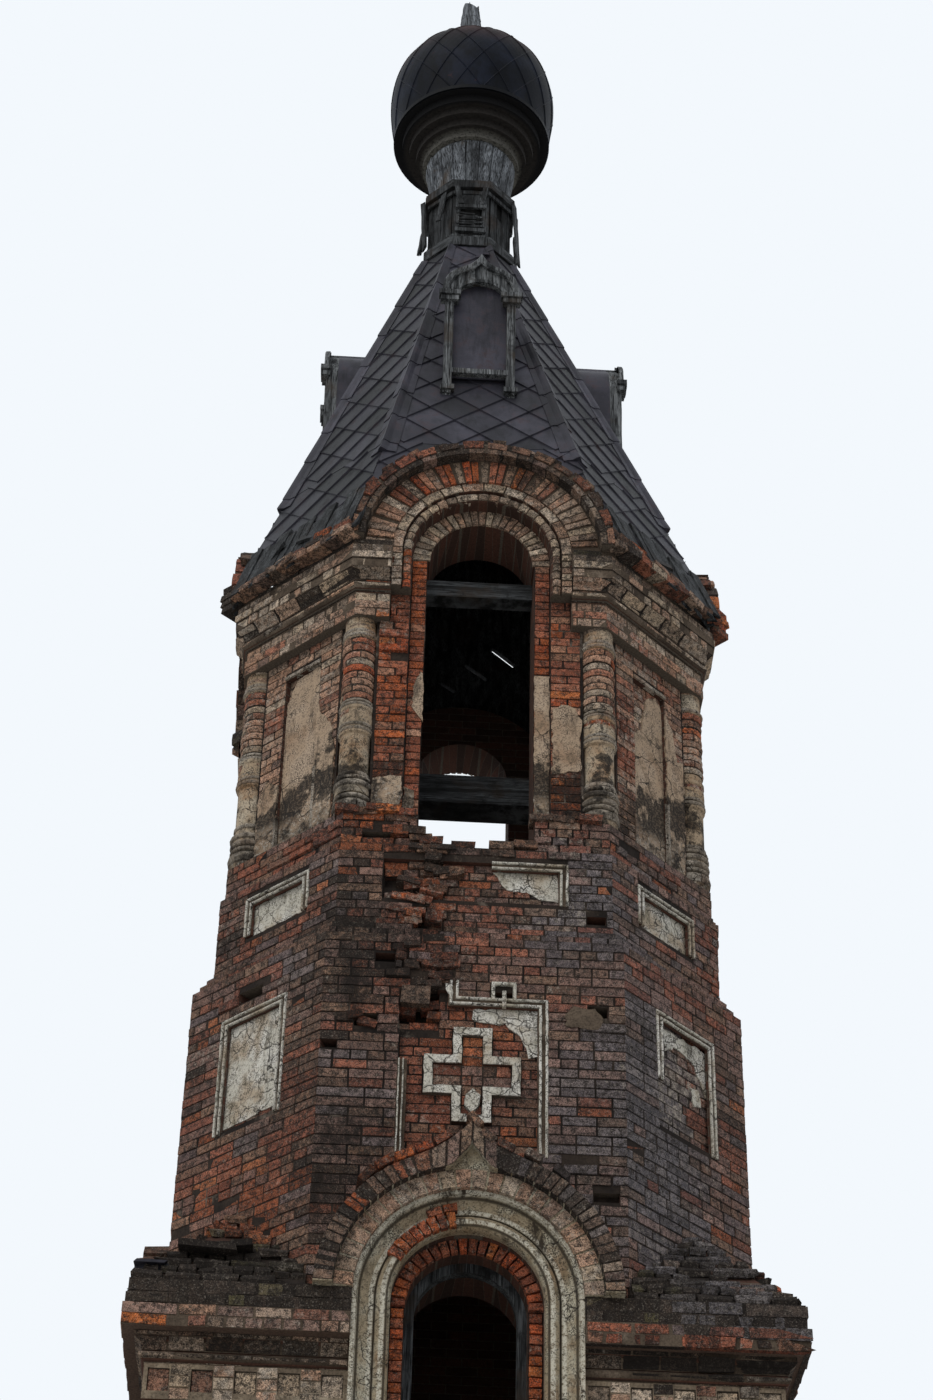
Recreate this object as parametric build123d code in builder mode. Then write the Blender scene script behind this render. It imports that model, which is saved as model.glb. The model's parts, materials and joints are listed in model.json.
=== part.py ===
# Bell tower: a square brick storey, an octagon in two steps, an open bell storey,
# an octagonal tent roof with dormers, a timber lantern and a small dome.
# Millimetres, +Z up, the front looks to -Y, the origin is at the middle of the foot.

import math
import os

from build123d import *

os.makedirs("parts", exist_ok=True)

# Square storeys
square_half = 2200.0
hollow_half = 1400.0
plinth_projection = 80.0
plinth_top = 600.0
plinth_bevel = 50.0
lower_top = 5000.0
string_course_height = 80.0
string_course_steps = (30.0, 80.0, 45.0)
door_half = 600.0
door_spring = 2300.0
door_block_half = 1000.0
door_block_top = 3400.0
window_half = 440.0
window_sill = 7300.0
window_spring = 9940.0
window_rebate = 105.0
window_rebate_depth = 100.0
frame_bar = 70.0
frame_depth = 90.0
frame_setback = 250.0

# Floors
floor_thickness = 120.0
upper_floor_top = 5160.0
bell_floor_top = 13880.0

# Kokoshnik over each window
archivolt_width = 275.0
band_width = 140.0
label_width = 140.0
band_front = 200.0
label_front = 270.0
keel_start_x = 450.0
keel_waist_x = 190.0
keel_waist_z = 1145.0
keel_tip_z = 1330.0
inner_tip_half = 150.0
inner_tip_z = 1140.0

# Frieze and cornice of the square
frieze_bottom = 9140.0
frieze_projection = 30.0
frieze_cell = 150.0
frieze_pitch = 300.0
frieze_cell_bottom = 9200.0
frieze_cell_height = 166.0
cornice_bottom = 9400.0
cornice_top = 9960.0
cornice_projection = 200.0
cornice_top_projection = 170.0
corner_roof_edge = 2340.0
corner_roof_peak = 10780.0

# Octagon: the half width over the cardinal faces, and half the length of such a face
corner_shift = 240.0
slope_22 = math.tan(math.radians(22.5))
step_a_half = 2047.0
step_a_bottom = 13000.0
course = 80.0
step_b_bottom = 13940.0
step_b_half = 2010.0
bell_wall_half = 1930.0
bell_base = 14260.0

# Panels of the octagon
cross_panel_half = 555.0
cross_panel_bottom = 11150.0
cross_panel_top = 12441.0
panel_depth = 45.0
notch_x = 218.0
notch_half = 88.0
notch_rise = 150.0
cross_upright_half = 148.0
cross_arm_half = 365.0
cross_bottom = 11394.0
cross_top = 12197.0
cross_arm_bottom = 11627.0
cross_arm_top = 11956.0
cross_band = 68.0
cross_sink = 30.0
tall_panel_width = 690.0
tall_panel_bottom = 11600.0
tall_panel_top = 12580.0
small_panel_front_half = 730.0
small_panel_bottom = 13430.0
small_panel_top = 13800.0

# Bell storey
bell_opening_half = 465.0
bell_sill = 13950.0
bell_spring = 17030.0
arch_radius = 449.0
arch_body_outer = 900.0
jamb_width = 135.0
jamb_setback = 50.0
roll_outer = 690.0
third_outer = 775.0
fourth_outer = 1030.0
fifth_outer = 1135.0
roll_leg_bottom = 16600.0
third_front = 130.0
fourth_front = 150.0
fifth_front = 250.0
bell_cornice_bottom = 16290.0
bell_cornice_top = 17070.0
column_inset = 70.0
column_shaft_radius = 127.0
column_base_radius = 150.0
bell_panel_width = 412.0
bell_panel_bottom = 14330.0
bell_panel_top = 16060.0

# Timber in the bell storey
tie_height = 170.0
tie_width = 160.0
tie_y = 1550.0
beam_size = 290.0
beam_y = 620.0
beam_bottom = 15270.0

# Tent roof
eave_z = 17100.0
eave_half = 2200.0
eave_face = 1130.0
bend_z = 18540.0
bend_half = 1730.0
bend_face = 850.0
tent_top_z = 22490.0
tent_top_half = 440.0
tent_top_face = 190.0
roof_thickness = 65.0
lean = 120.0
arch_gap = 12.0
cap_start_z = 18700.0
cap_bottom_radius = 115.0
cap_top_radius = 42.0
rafter_width = 110.0
rafter_depth = 150.0

# Dormers
dormer_front = 1446.0
dormer_half = 340.0
dormer_foot = 19440.0
dormer_spring = 20700.0
dormer_peak = 21270.0
dormer_post = 85.0
dormer_frame_depth = 90.0
dormer_skin = 25.0
dormer_panel_bottom = 19720.0
dormer_shift = -40.0

# Lantern
ledge_half = 470.0
ledge_face = 205.0
lower_ledge_height = 130.0
lantern_post = 72.0
lantern_half = 420.0
lantern_face = 180.0
upper_ledge_z = 23360.0
upper_ledge_height = 110.0
lantern_board = 22.0

# Dome
drum_bottom_radius = 374.0
drum_top_radius = 463.0
drum_top_z = 24100.0
rim_z = 24500.0
rim_radius = 827.0
dome_radius = 888.0
dome_wide_z = 25080.0
dome_top_z = 25980.0
dome_skin = 30.0
post_radius = 125.0
post_top_radius = 92.0
post_top_z = 26900.0
post_bottom_z = 25890.0
post_lean = 50.0


def face_half(half):
    return half * slope_22 + corner_shift


def cardinal_plan(half, inner):
    a = face_half(half)
    b = face_half(inner)
    return [(-a, -half), (a, -half), (b, -inner), (-b, -inner)]


def diagonal_plan(half, inner):
    a = face_half(half)
    b = face_half(inner)
    return [(-a, -half), (-half, -a), (-inner, -b), (-b, -inner)]


def octagon_ring(half, a):
    return [(-a, -half), (a, -half), (half, -a), (half, a),
            (a, half), (-a, half), (-half, a), (-half, -a)]


# The diagonal plane to the front left, through the middle of that face
def diagonal_plane(half):
    m = -(half + face_half(half)) / 2
    return Plane(origin=(m, m, 0), x_dir=(1, -1, 0), z_dir=(-1, -1, 0))


front = Plane.XZ.offset(square_half)
inner_wall = square_half - hollow_half

# Plinth, open at the doorway
with BuildPart() as plinth:
    with BuildSketch():
        Rectangle(2 * (square_half + plinth_projection), 2 * (square_half + plinth_projection))
    extrude(amount=plinth_top)
    chamfer(plinth.faces().sort_by(Axis.Z)[-1].edges(), plinth_bevel)
    with BuildSketch():
        Rectangle(2 * hollow_half, 2 * hollow_half)
    extrude(amount=plinth_top, mode=Mode.SUBTRACT)
    with BuildSketch():
        with Locations((0, -square_half)):
            Rectangle(2 * door_half, 2 * inner_wall + 400)
    extrude(amount=plinth_top, mode=Mode.SUBTRACT)

# Lower front wall in two piers, with the plain back wall
lower_height = lower_top - plinth_top
wall_middle = (square_half + hollow_half) / 2
with BuildPart() as lower_walls_front_back:
    with BuildSketch(Plane.XY.offset(plinth_top)):
        with Locations((0, -wall_middle), (0, wall_middle)):
            Rectangle(2 * square_half, inner_wall)
    extrude(amount=lower_height)
    with BuildSketch(front):
        with Locations((0, plinth_top)):
            Rectangle(2 * door_half, door_block_top - plinth_top, align=(Align.CENTER, Align.MIN))
        with Locations((0, door_spring)):
            Rectangle(2 * door_block_half, door_block_top - door_spring, align=(Align.CENTER, Align.MIN))
    extrude(amount=-inner_wall, mode=Mode.SUBTRACT)

# Masonry over the doorway, with its round arch
with BuildPart() as door_arch:
    with BuildSketch(front):
        with Locations((0, door_spring)):
            Rectangle(2 * door_block_half, door_block_top - door_spring, align=(Align.CENTER, Align.MIN))
            Circle(door_half, mode=Mode.SUBTRACT)
    extrude(amount=-inner_wall)

with BuildPart() as lower_walls_sides:
    with BuildSketch(Plane.XY.offset(plinth_top)):
        with Locations((-wall_middle, 0), (wall_middle, 0)):
            Rectangle(inner_wall, 2 * hollow_half)
    extrude(amount=lower_height)

# String course in three brick courses
with BuildPart() as string_course:
    for i, step in enumerate(string_course_steps):
        with BuildSketch(Plane.XY.offset(lower_top + i * string_course_height)):
            Rectangle(2 * (square_half + step), 2 * (square_half + step))
            Rectangle(2 * hollow_half, 2 * hollow_half, mode=Mode.SUBTRACT)
        extrude(amount=string_course_height)
upper_bottom = lower_top + len(string_course_steps) * string_course_height

# Floors: bricks on the ground, planks above
with BuildPart() as ground_floor:
    with BuildSketch():
        Rectangle(2 * hollow_half, 2 * hollow_half)
    extrude(amount=floor_thickness)

with BuildPart() as timber_floors:
    with BuildSketch(Plane.XY.offset(upper_floor_top - floor_thickness)):
        Rectangle(2 * hollow_half, 2 * hollow_half)
    extrude(amount=floor_thickness)
    with BuildSketch(Plane.XY.offset(bell_floor_top - floor_thickness)):
        Polygon(*octagon_ring(hollow_half, face_half(hollow_half)), align=None)
    extrude(amount=floor_thickness)

# Upper walls of the square: two piers a side, with the rebate round each window
rebate_half = window_half + window_rebate
upper_height = window_spring - upper_bottom

with BuildPart() as upper_wall_front:
    with BuildSketch(Plane.XY.offset(upper_bottom)):
        with Locations((0, -wall_middle)):
            Rectangle(2 * square_half, inner_wall)
            Rectangle(2 * window_half, inner_wall, mode=Mode.SUBTRACT)
    extrude(amount=upper_height)
    with BuildSketch(front):
        with Locations((0, window_sill)):
            Rectangle(2 * rebate_half, window_spring - window_sill, align=(Align.CENTER, Align.MIN))
    extrude(amount=-window_rebate_depth, mode=Mode.SUBTRACT)

with BuildPart() as upper_wall_back:
    add(upper_wall_front.part, rotation=(0, 0, 180))

with BuildPart() as upper_wall_right:
    with BuildSketch(Plane.XY.offset(upper_bottom)):
        with Locations((0, -wall_middle)):
            Rectangle(2 * hollow_half, inner_wall)
            Rectangle(2 * window_half, inner_wall, mode=Mode.SUBTRACT)
    extrude(amount=upper_height)
    with BuildSketch(front):
        with Locations((0, window_sill)):
            Rectangle(2 * rebate_half, window_spring - window_sill, align=(Align.CENTER, Align.MIN))
    extrude(amount=-window_rebate_depth, mode=Mode.SUBTRACT)
    turned = upper_wall_right.part.rotate(Axis.Z, 90)
    add(turned, mode=Mode.REPLACE)

with BuildPart() as upper_wall_left:
    add(upper_wall_right.part, rotation=(0, 0, 180))

with BuildPart() as under_window_walls:
    with BuildSketch(Plane.XY.offset(upper_bottom)):
        with PolarLocations(wall_middle, 4):
            Rectangle(inner_wall, 2 * window_half)
    extrude(amount=window_sill - upper_bottom)

# Arched timber frames in the windows
with BuildPart() as window_frame:
    with BuildSketch(Plane.XZ.offset(square_half - frame_setback)):
        with Locations((0, window_spring)):
            Circle(window_half)
        with Locations((0, window_sill)):
            Rectangle(2 * window_half, window_spring - window_sill, align=(Align.CENTER, Align.MIN))
        with Locations((0, window_spring)):
            Circle(window_half - frame_bar, mode=Mode.SUBTRACT)
        with Locations((0, window_sill + frame_bar)):
            Rectangle(2 * (window_half - frame_bar), window_spring - window_sill - frame_bar,
                      align=(Align.CENTER, Align.MIN), mode=Mode.SUBTRACT)
    extrude(amount=-frame_depth)

with BuildPart() as window_frames:
    with PolarLocations(0, 4):
        add(window_frame.part)

# Kokoshnik: a moulded archivolt round the window, a brick band and a keel-arched label
archivolt_outer = rebate_half + archivolt_width
band_outer = archivolt_outer + band_width
label_outer = band_outer + label_width
with BuildSketch() as archivolt_profile:
    with BuildLine():
        Polyline((archivolt_width, 0), (0, 0), (0, -45))
        ThreePointArc((0, -45), (57, -101), (114, -45))
        Polyline((114, -45), (114, -70), (135, -70))
        ThreePointArc((135, -70), (204, -98), (245, -165))
        Polyline((245, -165), (archivolt_width, -165), (archivolt_width, 0))
    make_face()

with BuildPart() as kokoshnik_front:
    with BuildSketch(Plane((rebate_half, -square_half, window_sill))):
        add(archivolt_profile.sketch)
    extrude(amount=window_spring - window_sill)
    mirror(about=Plane.YZ)
    with BuildSketch(Plane((rebate_half, -square_half, window_spring))):
        add(archivolt_profile.sketch)
    revolve(axis=Axis((0, 0, window_spring), (0, -1, 0)), revolution_arc=180)
    # Label, with its outer keel and the pointed inner edge
    with BuildSketch(front):
        with BuildLine():
            start_z = window_spring + math.sqrt(label_outer ** 2 - keel_start_x ** 2)
            foot_z = cornice_top
            foot_x = math.sqrt(label_outer ** 2 - (foot_z - window_spring) ** 2)
            middle = math.radians(38)
            for s in (1, -1):
                Line((0, foot_z), (s * foot_x, foot_z))
                ThreePointArc((s * foot_x, foot_z),
                              (s * label_outer * math.cos(middle), window_spring + label_outer * math.sin(middle)),
                              (s * keel_start_x, start_z))
                ThreePointArc((s * keel_start_x, start_z),
                              (s * keel_waist_x, window_spring + keel_waist_z),
                              (0, window_spring + keel_tip_z))
        make_face()
        with Locations((0, window_spring)):
            Circle(band_outer, mode=Mode.SUBTRACT)
        with BuildLine():
            base_z = window_spring + math.sqrt(band_outer ** 2 - inner_tip_half ** 2) - 5
            Polyline((-inner_tip_half, base_z), (inner_tip_half, base_z), (0, window_spring + inner_tip_z),
                     (-inner_tip_half, base_z))
        make_face(mode=Mode.SUBTRACT)
    extrude(amount=label_front)
    # Brick band and the pointed field over it
    with BuildSketch(front):
        with Locations((0, window_spring)):
            Circle(band_outer)
        with BuildLine():
            Polyline((-inner_tip_half, base_z), (inner_tip_half, base_z), (0, window_spring + inner_tip_z),
                     (-inner_tip_half, base_z))
        make_face()
        with Locations((0, window_spring)):
            Circle(archivolt_outer, mode=Mode.SUBTRACT)
        with Locations((0, cornice_top)):
            Rectangle(2 * label_outer, 2 * label_outer, align=(Align.CENTER, Align.MAX), mode=Mode.SUBTRACT)
    extrude(amount=band_front)

with BuildPart() as kokoshnik_back:
    add(kokoshnik_front.part, rotation=(0, 0, 180))

with BuildPart() as kokoshniks_sides:
    add(kokoshnik_front.part, rotation=(0, 0, 90))
    add(kokoshnik_front.part, rotation=(0, 0, 270))

# Corner pieces of the square's frieze, with square recesses
corner_run = [(-archivolt_outer, -square_half), (-square_half, -square_half), (-square_half, -archivolt_outer)]
with BuildPart() as frieze_corner:
    with BuildSketch(Plane.XY.offset(frieze_bottom)):
        outer = square_half + frieze_projection
        Polygon((-archivolt_outer, -square_half), (-archivolt_outer, -outer), (-outer, -outer),
                (-outer, -archivolt_outer), (-square_half, -archivolt_outer), (-square_half, -square_half),
                align=None)
    extrude(amount=cornice_bottom - frieze_bottom)
    cell_count = int((square_half - archivolt_outer - frieze_cell) / frieze_pitch) + 1
    first = square_half - frieze_cell / 2
    cell_z = frieze_cell_bottom + frieze_cell_height / 2
    with BuildSketch(front):
        with Locations(*[(-(first - i * frieze_pitch), cell_z) for i in range(cell_count)]):
            Rectangle(frieze_cell, frieze_cell_height)
    extrude(amount=frieze_projection, mode=Mode.SUBTRACT)
    with BuildSketch(Plane.YZ.offset(-square_half)):
        with Locations(*[(-(first - i * frieze_pitch), cell_z) for i in range(cell_count)]):
            Rectangle(frieze_cell, frieze_cell_height)
    extrude(amount=-frieze_projection, mode=Mode.SUBTRACT)

with BuildPart() as square_frieze:
    with PolarLocations(0, 4):
        add(frieze_corner.part)

# Cornice of the square: one profile swept round each corner
with BuildPart() as cornice_corner:
    with BuildLine(Plane.XY.offset(cornice_bottom)) as cornice_path:
        Polyline(*corner_run)
    with BuildSketch(Plane(origin=(-archivolt_outer, -square_half, cornice_bottom), x_dir=(0, -1, 0),
                           z_dir=(-1, 0, 0))):
        with BuildLine():
            rise = cornice_top - cornice_bottom
            Polyline((0, rise), (0, 0), (28, 0), (28, 10))
            ThreePointArc((28, 10), (66, 48), (28, 86))
            Polyline((28, 86), (50, 86))
            ThreePointArc((50, 86), (64, 140), (104, 170))
            Polyline((104, 170), (104, 205), (cornice_projection, 205), (cornice_projection, 370),
                     (cornice_top_projection, 370), (cornice_top_projection, rise), (0, rise))
        make_face()
    sweep(path=cornice_path.line, transition=Transition.RIGHT)

with BuildPart() as square_cornice:
    with PolarLocations(0, 4):
        add(cornice_corner.part)

# Sloping masonry over the four corners, up to the diagonal faces
oct_face = face_half(square_half)
with BuildPart() as corner_roof:
    with BuildSketch(Plane.XY.offset(cornice_top)):
        Polygon((-oct_face, -square_half), (-oct_face, -corner_roof_edge), (-corner_roof_edge, -corner_roof_edge),
                (-corner_roof_edge, -oct_face), (-square_half, -oct_face), align=None)
    extrude(amount=corner_roof_peak - cornice_top)
    peak_xy = -(square_half + oct_face) / 2
    roof_rise = corner_roof_peak - cornice_top
    roof_run = corner_roof_edge + peak_xy
    split(bisect_by=Plane(origin=(0, -corner_roof_edge, cornice_top), z_dir=(0, -roof_rise, roof_run)),
          keep=Keep.BOTTOM)
    split(bisect_by=Plane(origin=(-corner_roof_edge, 0, cornice_top), z_dir=(-roof_rise, 0, roof_run)),
          keep=Keep.BOTTOM)

with BuildPart() as corner_roofs:
    with PolarLocations(0, 4):
        add(corner_roof.part)

# Octagon: courses of the two steps, as (half width, bottom, top)
step_a_drop = (square_half - step_a_half) / 3
octagon_steps = [
    (square_half, window_spring, step_a_bottom),
    (square_half - step_a_drop, step_a_bottom, step_a_bottom + course),
    (square_half - 2 * step_a_drop, step_a_bottom + course, step_a_bottom + 2 * course),
    (step_a_half, step_a_bottom + 2 * course, step_b_bottom),
    (step_b_half, step_b_bottom, bell_base),
]

with BuildPart() as tier_wall_plain:
    for half, bottom, top in octagon_steps:
        with BuildSketch(Plane.XY.offset(bottom)):
            Polygon(*cardinal_plan(half, hollow_half), align=None)
        extrude(amount=top - bottom)
    # Window head
    with BuildSketch(front):
        with Locations((0, window_spring)):
            Circle(window_half)
    extrude(amount=-inner_wall, mode=Mode.SUBTRACT)
    with BuildSketch(front):
        with Locations((0, window_spring)):
            Circle(rebate_half)
    extrude(amount=-window_rebate_depth, mode=Mode.SUBTRACT)
    # Bell opening's sill
    with BuildSketch(front):
        with Locations((0, bell_sill)):
            Rectangle(2 * bell_opening_half, bell_base - bell_sill, align=(Align.CENTER, Align.MIN))
    extrude(amount=-inner_wall, mode=Mode.SUBTRACT)
    # Sunk panel with two keyhole notches, and the cross standing in it
    with BuildSketch(front):
        with Locations((0, cross_panel_bottom)):
            Rectangle(2 * cross_panel_half, cross_panel_top - cross_panel_bottom, align=(Align.CENTER, Align.MIN))
        with Locations((-notch_x, cross_panel_top), (notch_x, cross_panel_top)):
            Rectangle(2 * notch_half, notch_rise)
        with Locations((0, cross_bottom)):
            Rectangle(2 * cross_upright_half, cross_top - cross_bottom,
                      align=(Align.CENTER, Align.MIN), mode=Mode.SUBTRACT)
        with Locations((0, cross_arm_bottom)):
            Rectangle(2 * cross_arm_half, cross_arm_top - cross_arm_bottom,
                      align=(Align.CENTER, Align.MIN), mode=Mode.SUBTRACT)
    extrude(amount=-panel_depth, mode=Mode.SUBTRACT)
    with BuildSketch(front):
        with Locations((0, cross_bottom + cross_band)):
            Rectangle(2 * (cross_upright_half - cross_band), cross_top - cross_bottom - 2 * cross_band,
                      align=(Align.CENTER, Align.MIN))
        with Locations((0, cross_arm_bottom + cross_band)):
            Rectangle(2 * (cross_arm_half - cross_band), cross_arm_top - cross_arm_bottom - 2 * cross_band,
                      align=(Align.CENTER, Align.MIN))
    extrude(amount=-cross_sink, mode=Mode.SUBTRACT)
    # Small panel of the upper step
    with BuildSketch(Plane.XZ.offset(step_a_half)):
        with Locations((0, small_panel_bottom)):
            Rectangle(2 * small_panel_front_half, small_panel_top - small_panel_bottom,
                      align=(Align.CENTER, Align.MIN))
    extrude(amount=-panel_depth, mode=Mode.SUBTRACT)

# Putlog holes and places where bricks have fallen out of the front, as (x, z, width, height, depth)
front_holes = [(-410, 12350, 300, 330, 190), (-378, 12560, 206, 130, 110), (-816, 12225, 170, 110, 80),
               (-687, 12785, 150, 78, 100), (-1100, 12007, 150, 70, 100), (950, 12380, 150, 100, 260),
               (1000, 10825, 190, 75, 70), (-422, 13247, 120, 240, 250), (-633, 13600, 160, 90, 240),
               (960, 13300, 150, 75, 260), (-700, 14043, 420, 62, 250)]
with BuildPart() as tier_wall_front:
    add(tier_wall_plain.part)
    for x, z, width, height, depth in front_holes:
        with BuildSketch(front):
            with Locations((x, z)):
                Rectangle(width, height)
        extrude(amount=-depth, mode=Mode.SUBTRACT)

with BuildPart() as tier_wall_right:
    add(tier_wall_plain.part, rotation=(0, 0, 90))

with BuildPart() as tier_wall_back:
    add(tier_wall_plain.part, rotation=(0, 0, 180))

with BuildPart() as tier_wall_left:
    add(tier_wall_plain.part, rotation=(0, 0, 270))

with BuildPart() as tier_diagonal:
    for half, bottom, top in octagon_steps:
        with BuildSketch(Plane.XY.offset(bottom)):
            Polygon(*diagonal_plan(half, hollow_half), align=None)
        extrude(amount=top - bottom)
    with BuildSketch(diagonal_plane(square_half)):
        with Locations((0, tall_panel_bottom)):
            Rectangle(tall_panel_width, tall_panel_top - tall_panel_bottom, align=(Align.CENTER, Align.MIN))
    extrude(amount=-panel_depth, mode=Mode.SUBTRACT)
    with BuildSketch(diagonal_plane(step_a_half)):
        with Locations((0, small_panel_bottom)):
            Rectangle(tall_panel_width, small_panel_top - small_panel_bottom, align=(Align.CENTER, Align.MIN))
    extrude(amount=-panel_depth, mode=Mode.SUBTRACT)

with BuildPart() as tier_walls_diagonal:
    with PolarLocations(0, 4):
        add(tier_diagonal.part)
    # Putlog hole in the front left face
    with BuildSketch(diagonal_plane(square_half)):
        with Locations((-60, 12740)):
            Rectangle(260, 100)
    extrude(amount=-220, mode=Mode.SUBTRACT)

# Bell storey: corner piers, notched for the columns, with a sunk plaster panel
column_half = bell_wall_half - column_inset
column_spots = [(-face_half(column_half), -column_half), (-column_half, -face_half(column_half))]
jamb_outer = bell_opening_half + jamb_width
with BuildPart() as bell_pier:
    with BuildSketch(Plane.XY.offset(bell_base)):
        a = face_half(bell_wall_half)
        b = face_half(hollow_half)
        h = bell_wall_half
        k = bell_opening_half
        j = jamb_outer
        q = bell_wall_half - jamb_setback
        i = hollow_half
        Polygon((-k, -q), (-j, -q), (-j, -h), (-a, -h), (-h, -a), (-h, -j), (-q, -j), (-q, -k),
                (-i, -k), (-i, -b), (-b, -i), (-k, -i), align=None)
    extrude(amount=bell_spring - bell_base)
    with BuildSketch(Plane.XY.offset(bell_base)):
        with Locations(*column_spots):
            Circle(column_base_radius)
    extrude(amount=bell_cornice_bottom - bell_base, mode=Mode.SUBTRACT)
    with BuildSketch(diagonal_plane(bell_wall_half)):
        with Locations((0, bell_panel_bottom)):
            Rectangle(bell_panel_width, bell_panel_top - bell_panel_bottom, align=(Align.CENTER, Align.MIN))
    extrude(amount=-panel_depth, mode=Mode.SUBTRACT)

with BuildPart() as bell_piers:
    with PolarLocations(0, 4):
        add(bell_pier.part)

# Ringed columns: base, shaft with a swelling between two rings, and necking
with BuildPart() as bell_column:
    with BuildSketch(Plane.XZ):
        with BuildLine():
            s = column_shaft_radius
            r = column_base_radius - 0.3
            z0 = bell_base
            z1 = bell_cornice_bottom
            Polyline((0, z1), (0, z0), (r, z0), (r, z0 + 60))
            ThreePointArc((r, z0 + 60), (r - 20, z0 + 105), (s, z0 + 130))
            Polyline((s, z0 + 130), (s, z0 + 215), (r - 4, z0 + 215))
            ThreePointArc((r - 4, z0 + 215), (r, z0 + 250), (r - 8, z0 + 285))
            Polyline((r - 8, z0 + 285), (s, z0 + 320), (s, 15070), (r - 6, 15085), (r - 6, 15115), (s + 8, 15130))
            ThreePointArc((s + 8, 15130), (s + 16, 15222), (s + 8, 15315))
            Polyline((s + 8, 15315), (r - 6, 15330), (r - 6, 15360), (s, 15375), (s, 15870),
                     (s - 6, 15890), (s - 6, 15900), (s, 15920), (s, 16070),
                     (r - 4, 16085), (r - 4, 16125), (s + 6, 16145), (s + 6, z1), (0, z1))
        make_face()
    revolve(axis=Axis.Z)

with BuildPart() as bell_columns:
    with PolarLocations(0, 4):
        with Locations(*[(x, y, 0) for x, y in column_spots]):
            add(bell_column.part)

# Bell storey's cornice: four lengths, each round one diagonal face
with BuildPart() as bell_cornice_piece:
    with BuildLine(Plane.XY.offset(bell_cornice_bottom)) as bell_cornice_path:
        a = face_half(bell_wall_half)
        Polyline((-third_outer, -bell_wall_half), (-a, -bell_wall_half), (-bell_wall_half, -a),
                 (-bell_wall_half, -third_outer))
    with BuildSketch(Plane(origin=(-third_outer, -bell_wall_half, bell_cornice_bottom), x_dir=(0, -1, 0),
                           z_dir=(-1, 0, 0))):
        with BuildLine():
            rise = bell_cornice_top - bell_cornice_bottom
            Polyline((0, rise), (0, 0), (85, 0), (85, 165), (70, 165), (70, 260), (83, 270))
            ThreePointArc((83, 270), (128, 318), (83, 366))
            Polyline((83, 366), (112, 366))
            ThreePointArc((112, 366), (135, 440), (189, 460))
            Polyline((189, 460), (189, 550), (200, 550), (200, 630), (186, 630), (186, 710), (160, 710),
                     (160, rise), (0, rise))
        make_face()
    sweep(path=bell_cornice_path.line, transition=Transition.RIGHT)

with BuildPart() as bell_cornice:
    with PolarLocations(0, 4):
        add(bell_cornice_piece.part)

# Arch of a bell opening: stepped orders, each a little further out than the one inside it
bell_front = Plane.XZ.offset(bell_wall_half)
roll_minor = (roll_outer - jamb_outer) / 2
roll_middle = (roll_outer + jamb_outer) / 2


def upper_half(radius, z_from):
    with Locations((0, z_from)):
        Rectangle(3 * radius, 3 * radius, align=(Align.CENTER, Align.MIN), mode=Mode.INTERSECT)


with BuildPart() as bell_arch_front:
    with BuildSketch(bell_front):
        with Locations((0, bell_spring)):
            Circle(arch_body_outer)
            Circle(arch_radius, mode=Mode.SUBTRACT)
        upper_half(arch_body_outer, bell_spring)
    extrude(amount=-(bell_wall_half - hollow_half))
    with BuildSketch(bell_front):
        with Locations((0, bell_spring)):
            Circle(jamb_outer)
        upper_half(jamb_outer, bell_spring)
    extrude(amount=-jamb_setback, mode=Mode.SUBTRACT)
    # Round roll and the flat ring outside it, both with legs down the piers
    with BuildLine(bell_front) as roll_path:
        Line((jamb_outer, roll_leg_bottom), (jamb_outer, bell_spring))
        CenterArc((0, bell_spring), jamb_outer, 0, 180)
        Line((-jamb_outer, bell_spring), (-jamb_outer, roll_leg_bottom))
    with BuildSketch(Plane(origin=(jamb_outer, -bell_wall_half, roll_leg_bottom), x_dir=(1, 0, 0),
                           z_dir=(0, 0, 1))):
        with BuildLine():
            w = roll_outer - jamb_outer
            t = third_outer - jamb_outer
            Polyline((t, 0), (0, 0), (0, -70))
            ThreePointArc((0, -70), (w / 2, -70 - w / 2), (w, -70))
            Polyline((w, -70), (w, -third_front), (t, -third_front), (t, 0))
        make_face()
    sweep(path=roll_path.line)
    # Ring of paired voussoirs and the outer label, standing on the cornice
    with BuildSketch(bell_front):
        with Locations((0, bell_spring)):
            Circle(fourth_outer)
            Circle(third_outer, mode=Mode.SUBTRACT)
        upper_half(fourth_outer, bell_cornice_top)
    extrude(amount=fourth_front)
    with BuildSketch(bell_front):
        with Locations((0, bell_spring)):
            Circle(fifth_outer)
            Circle(fourth_outer, mode=Mode.SUBTRACT)
        upper_half(fifth_outer, bell_cornice_top)
    extrude(amount=fifth_front)

with BuildPart() as bell_arch_back:
    add(bell_arch_front.part, rotation=(0, 0, 180))

with BuildPart() as bell_arches_sides:
    add(bell_arch_front.part, rotation=(0, 0, 90))
    add(bell_arch_front.part, rotation=(0, 0, 270))

# Tie beams across the openings, and two beams that carried bells
with BuildPart() as bell_beams:
    with BuildSketch(Plane.XY.offset(bell_spring - tie_height)):
        with PolarLocations(tie_y, 4):
            Rectangle(tie_width, 2 * bell_opening_half)
    extrude(amount=tie_height)
    with BuildSketch(Plane.XY.offset(beam_bottom)):
        with Locations((0, -beam_y), (0, beam_y)):
            Rectangle(2 * hollow_half, beam_size)
    extrude(amount=beam_size)

# Tent roof: corner points of the octagon at the eave, the bend and the top
roof_levels = [(eave_z, eave_half, eave_face, 0.0),
               (bend_z, bend_half, bend_face, -lean * (bend_z - eave_z) / (tent_top_z - eave_z)),
               (tent_top_z, tent_top_half, tent_top_face, -lean)]


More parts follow.
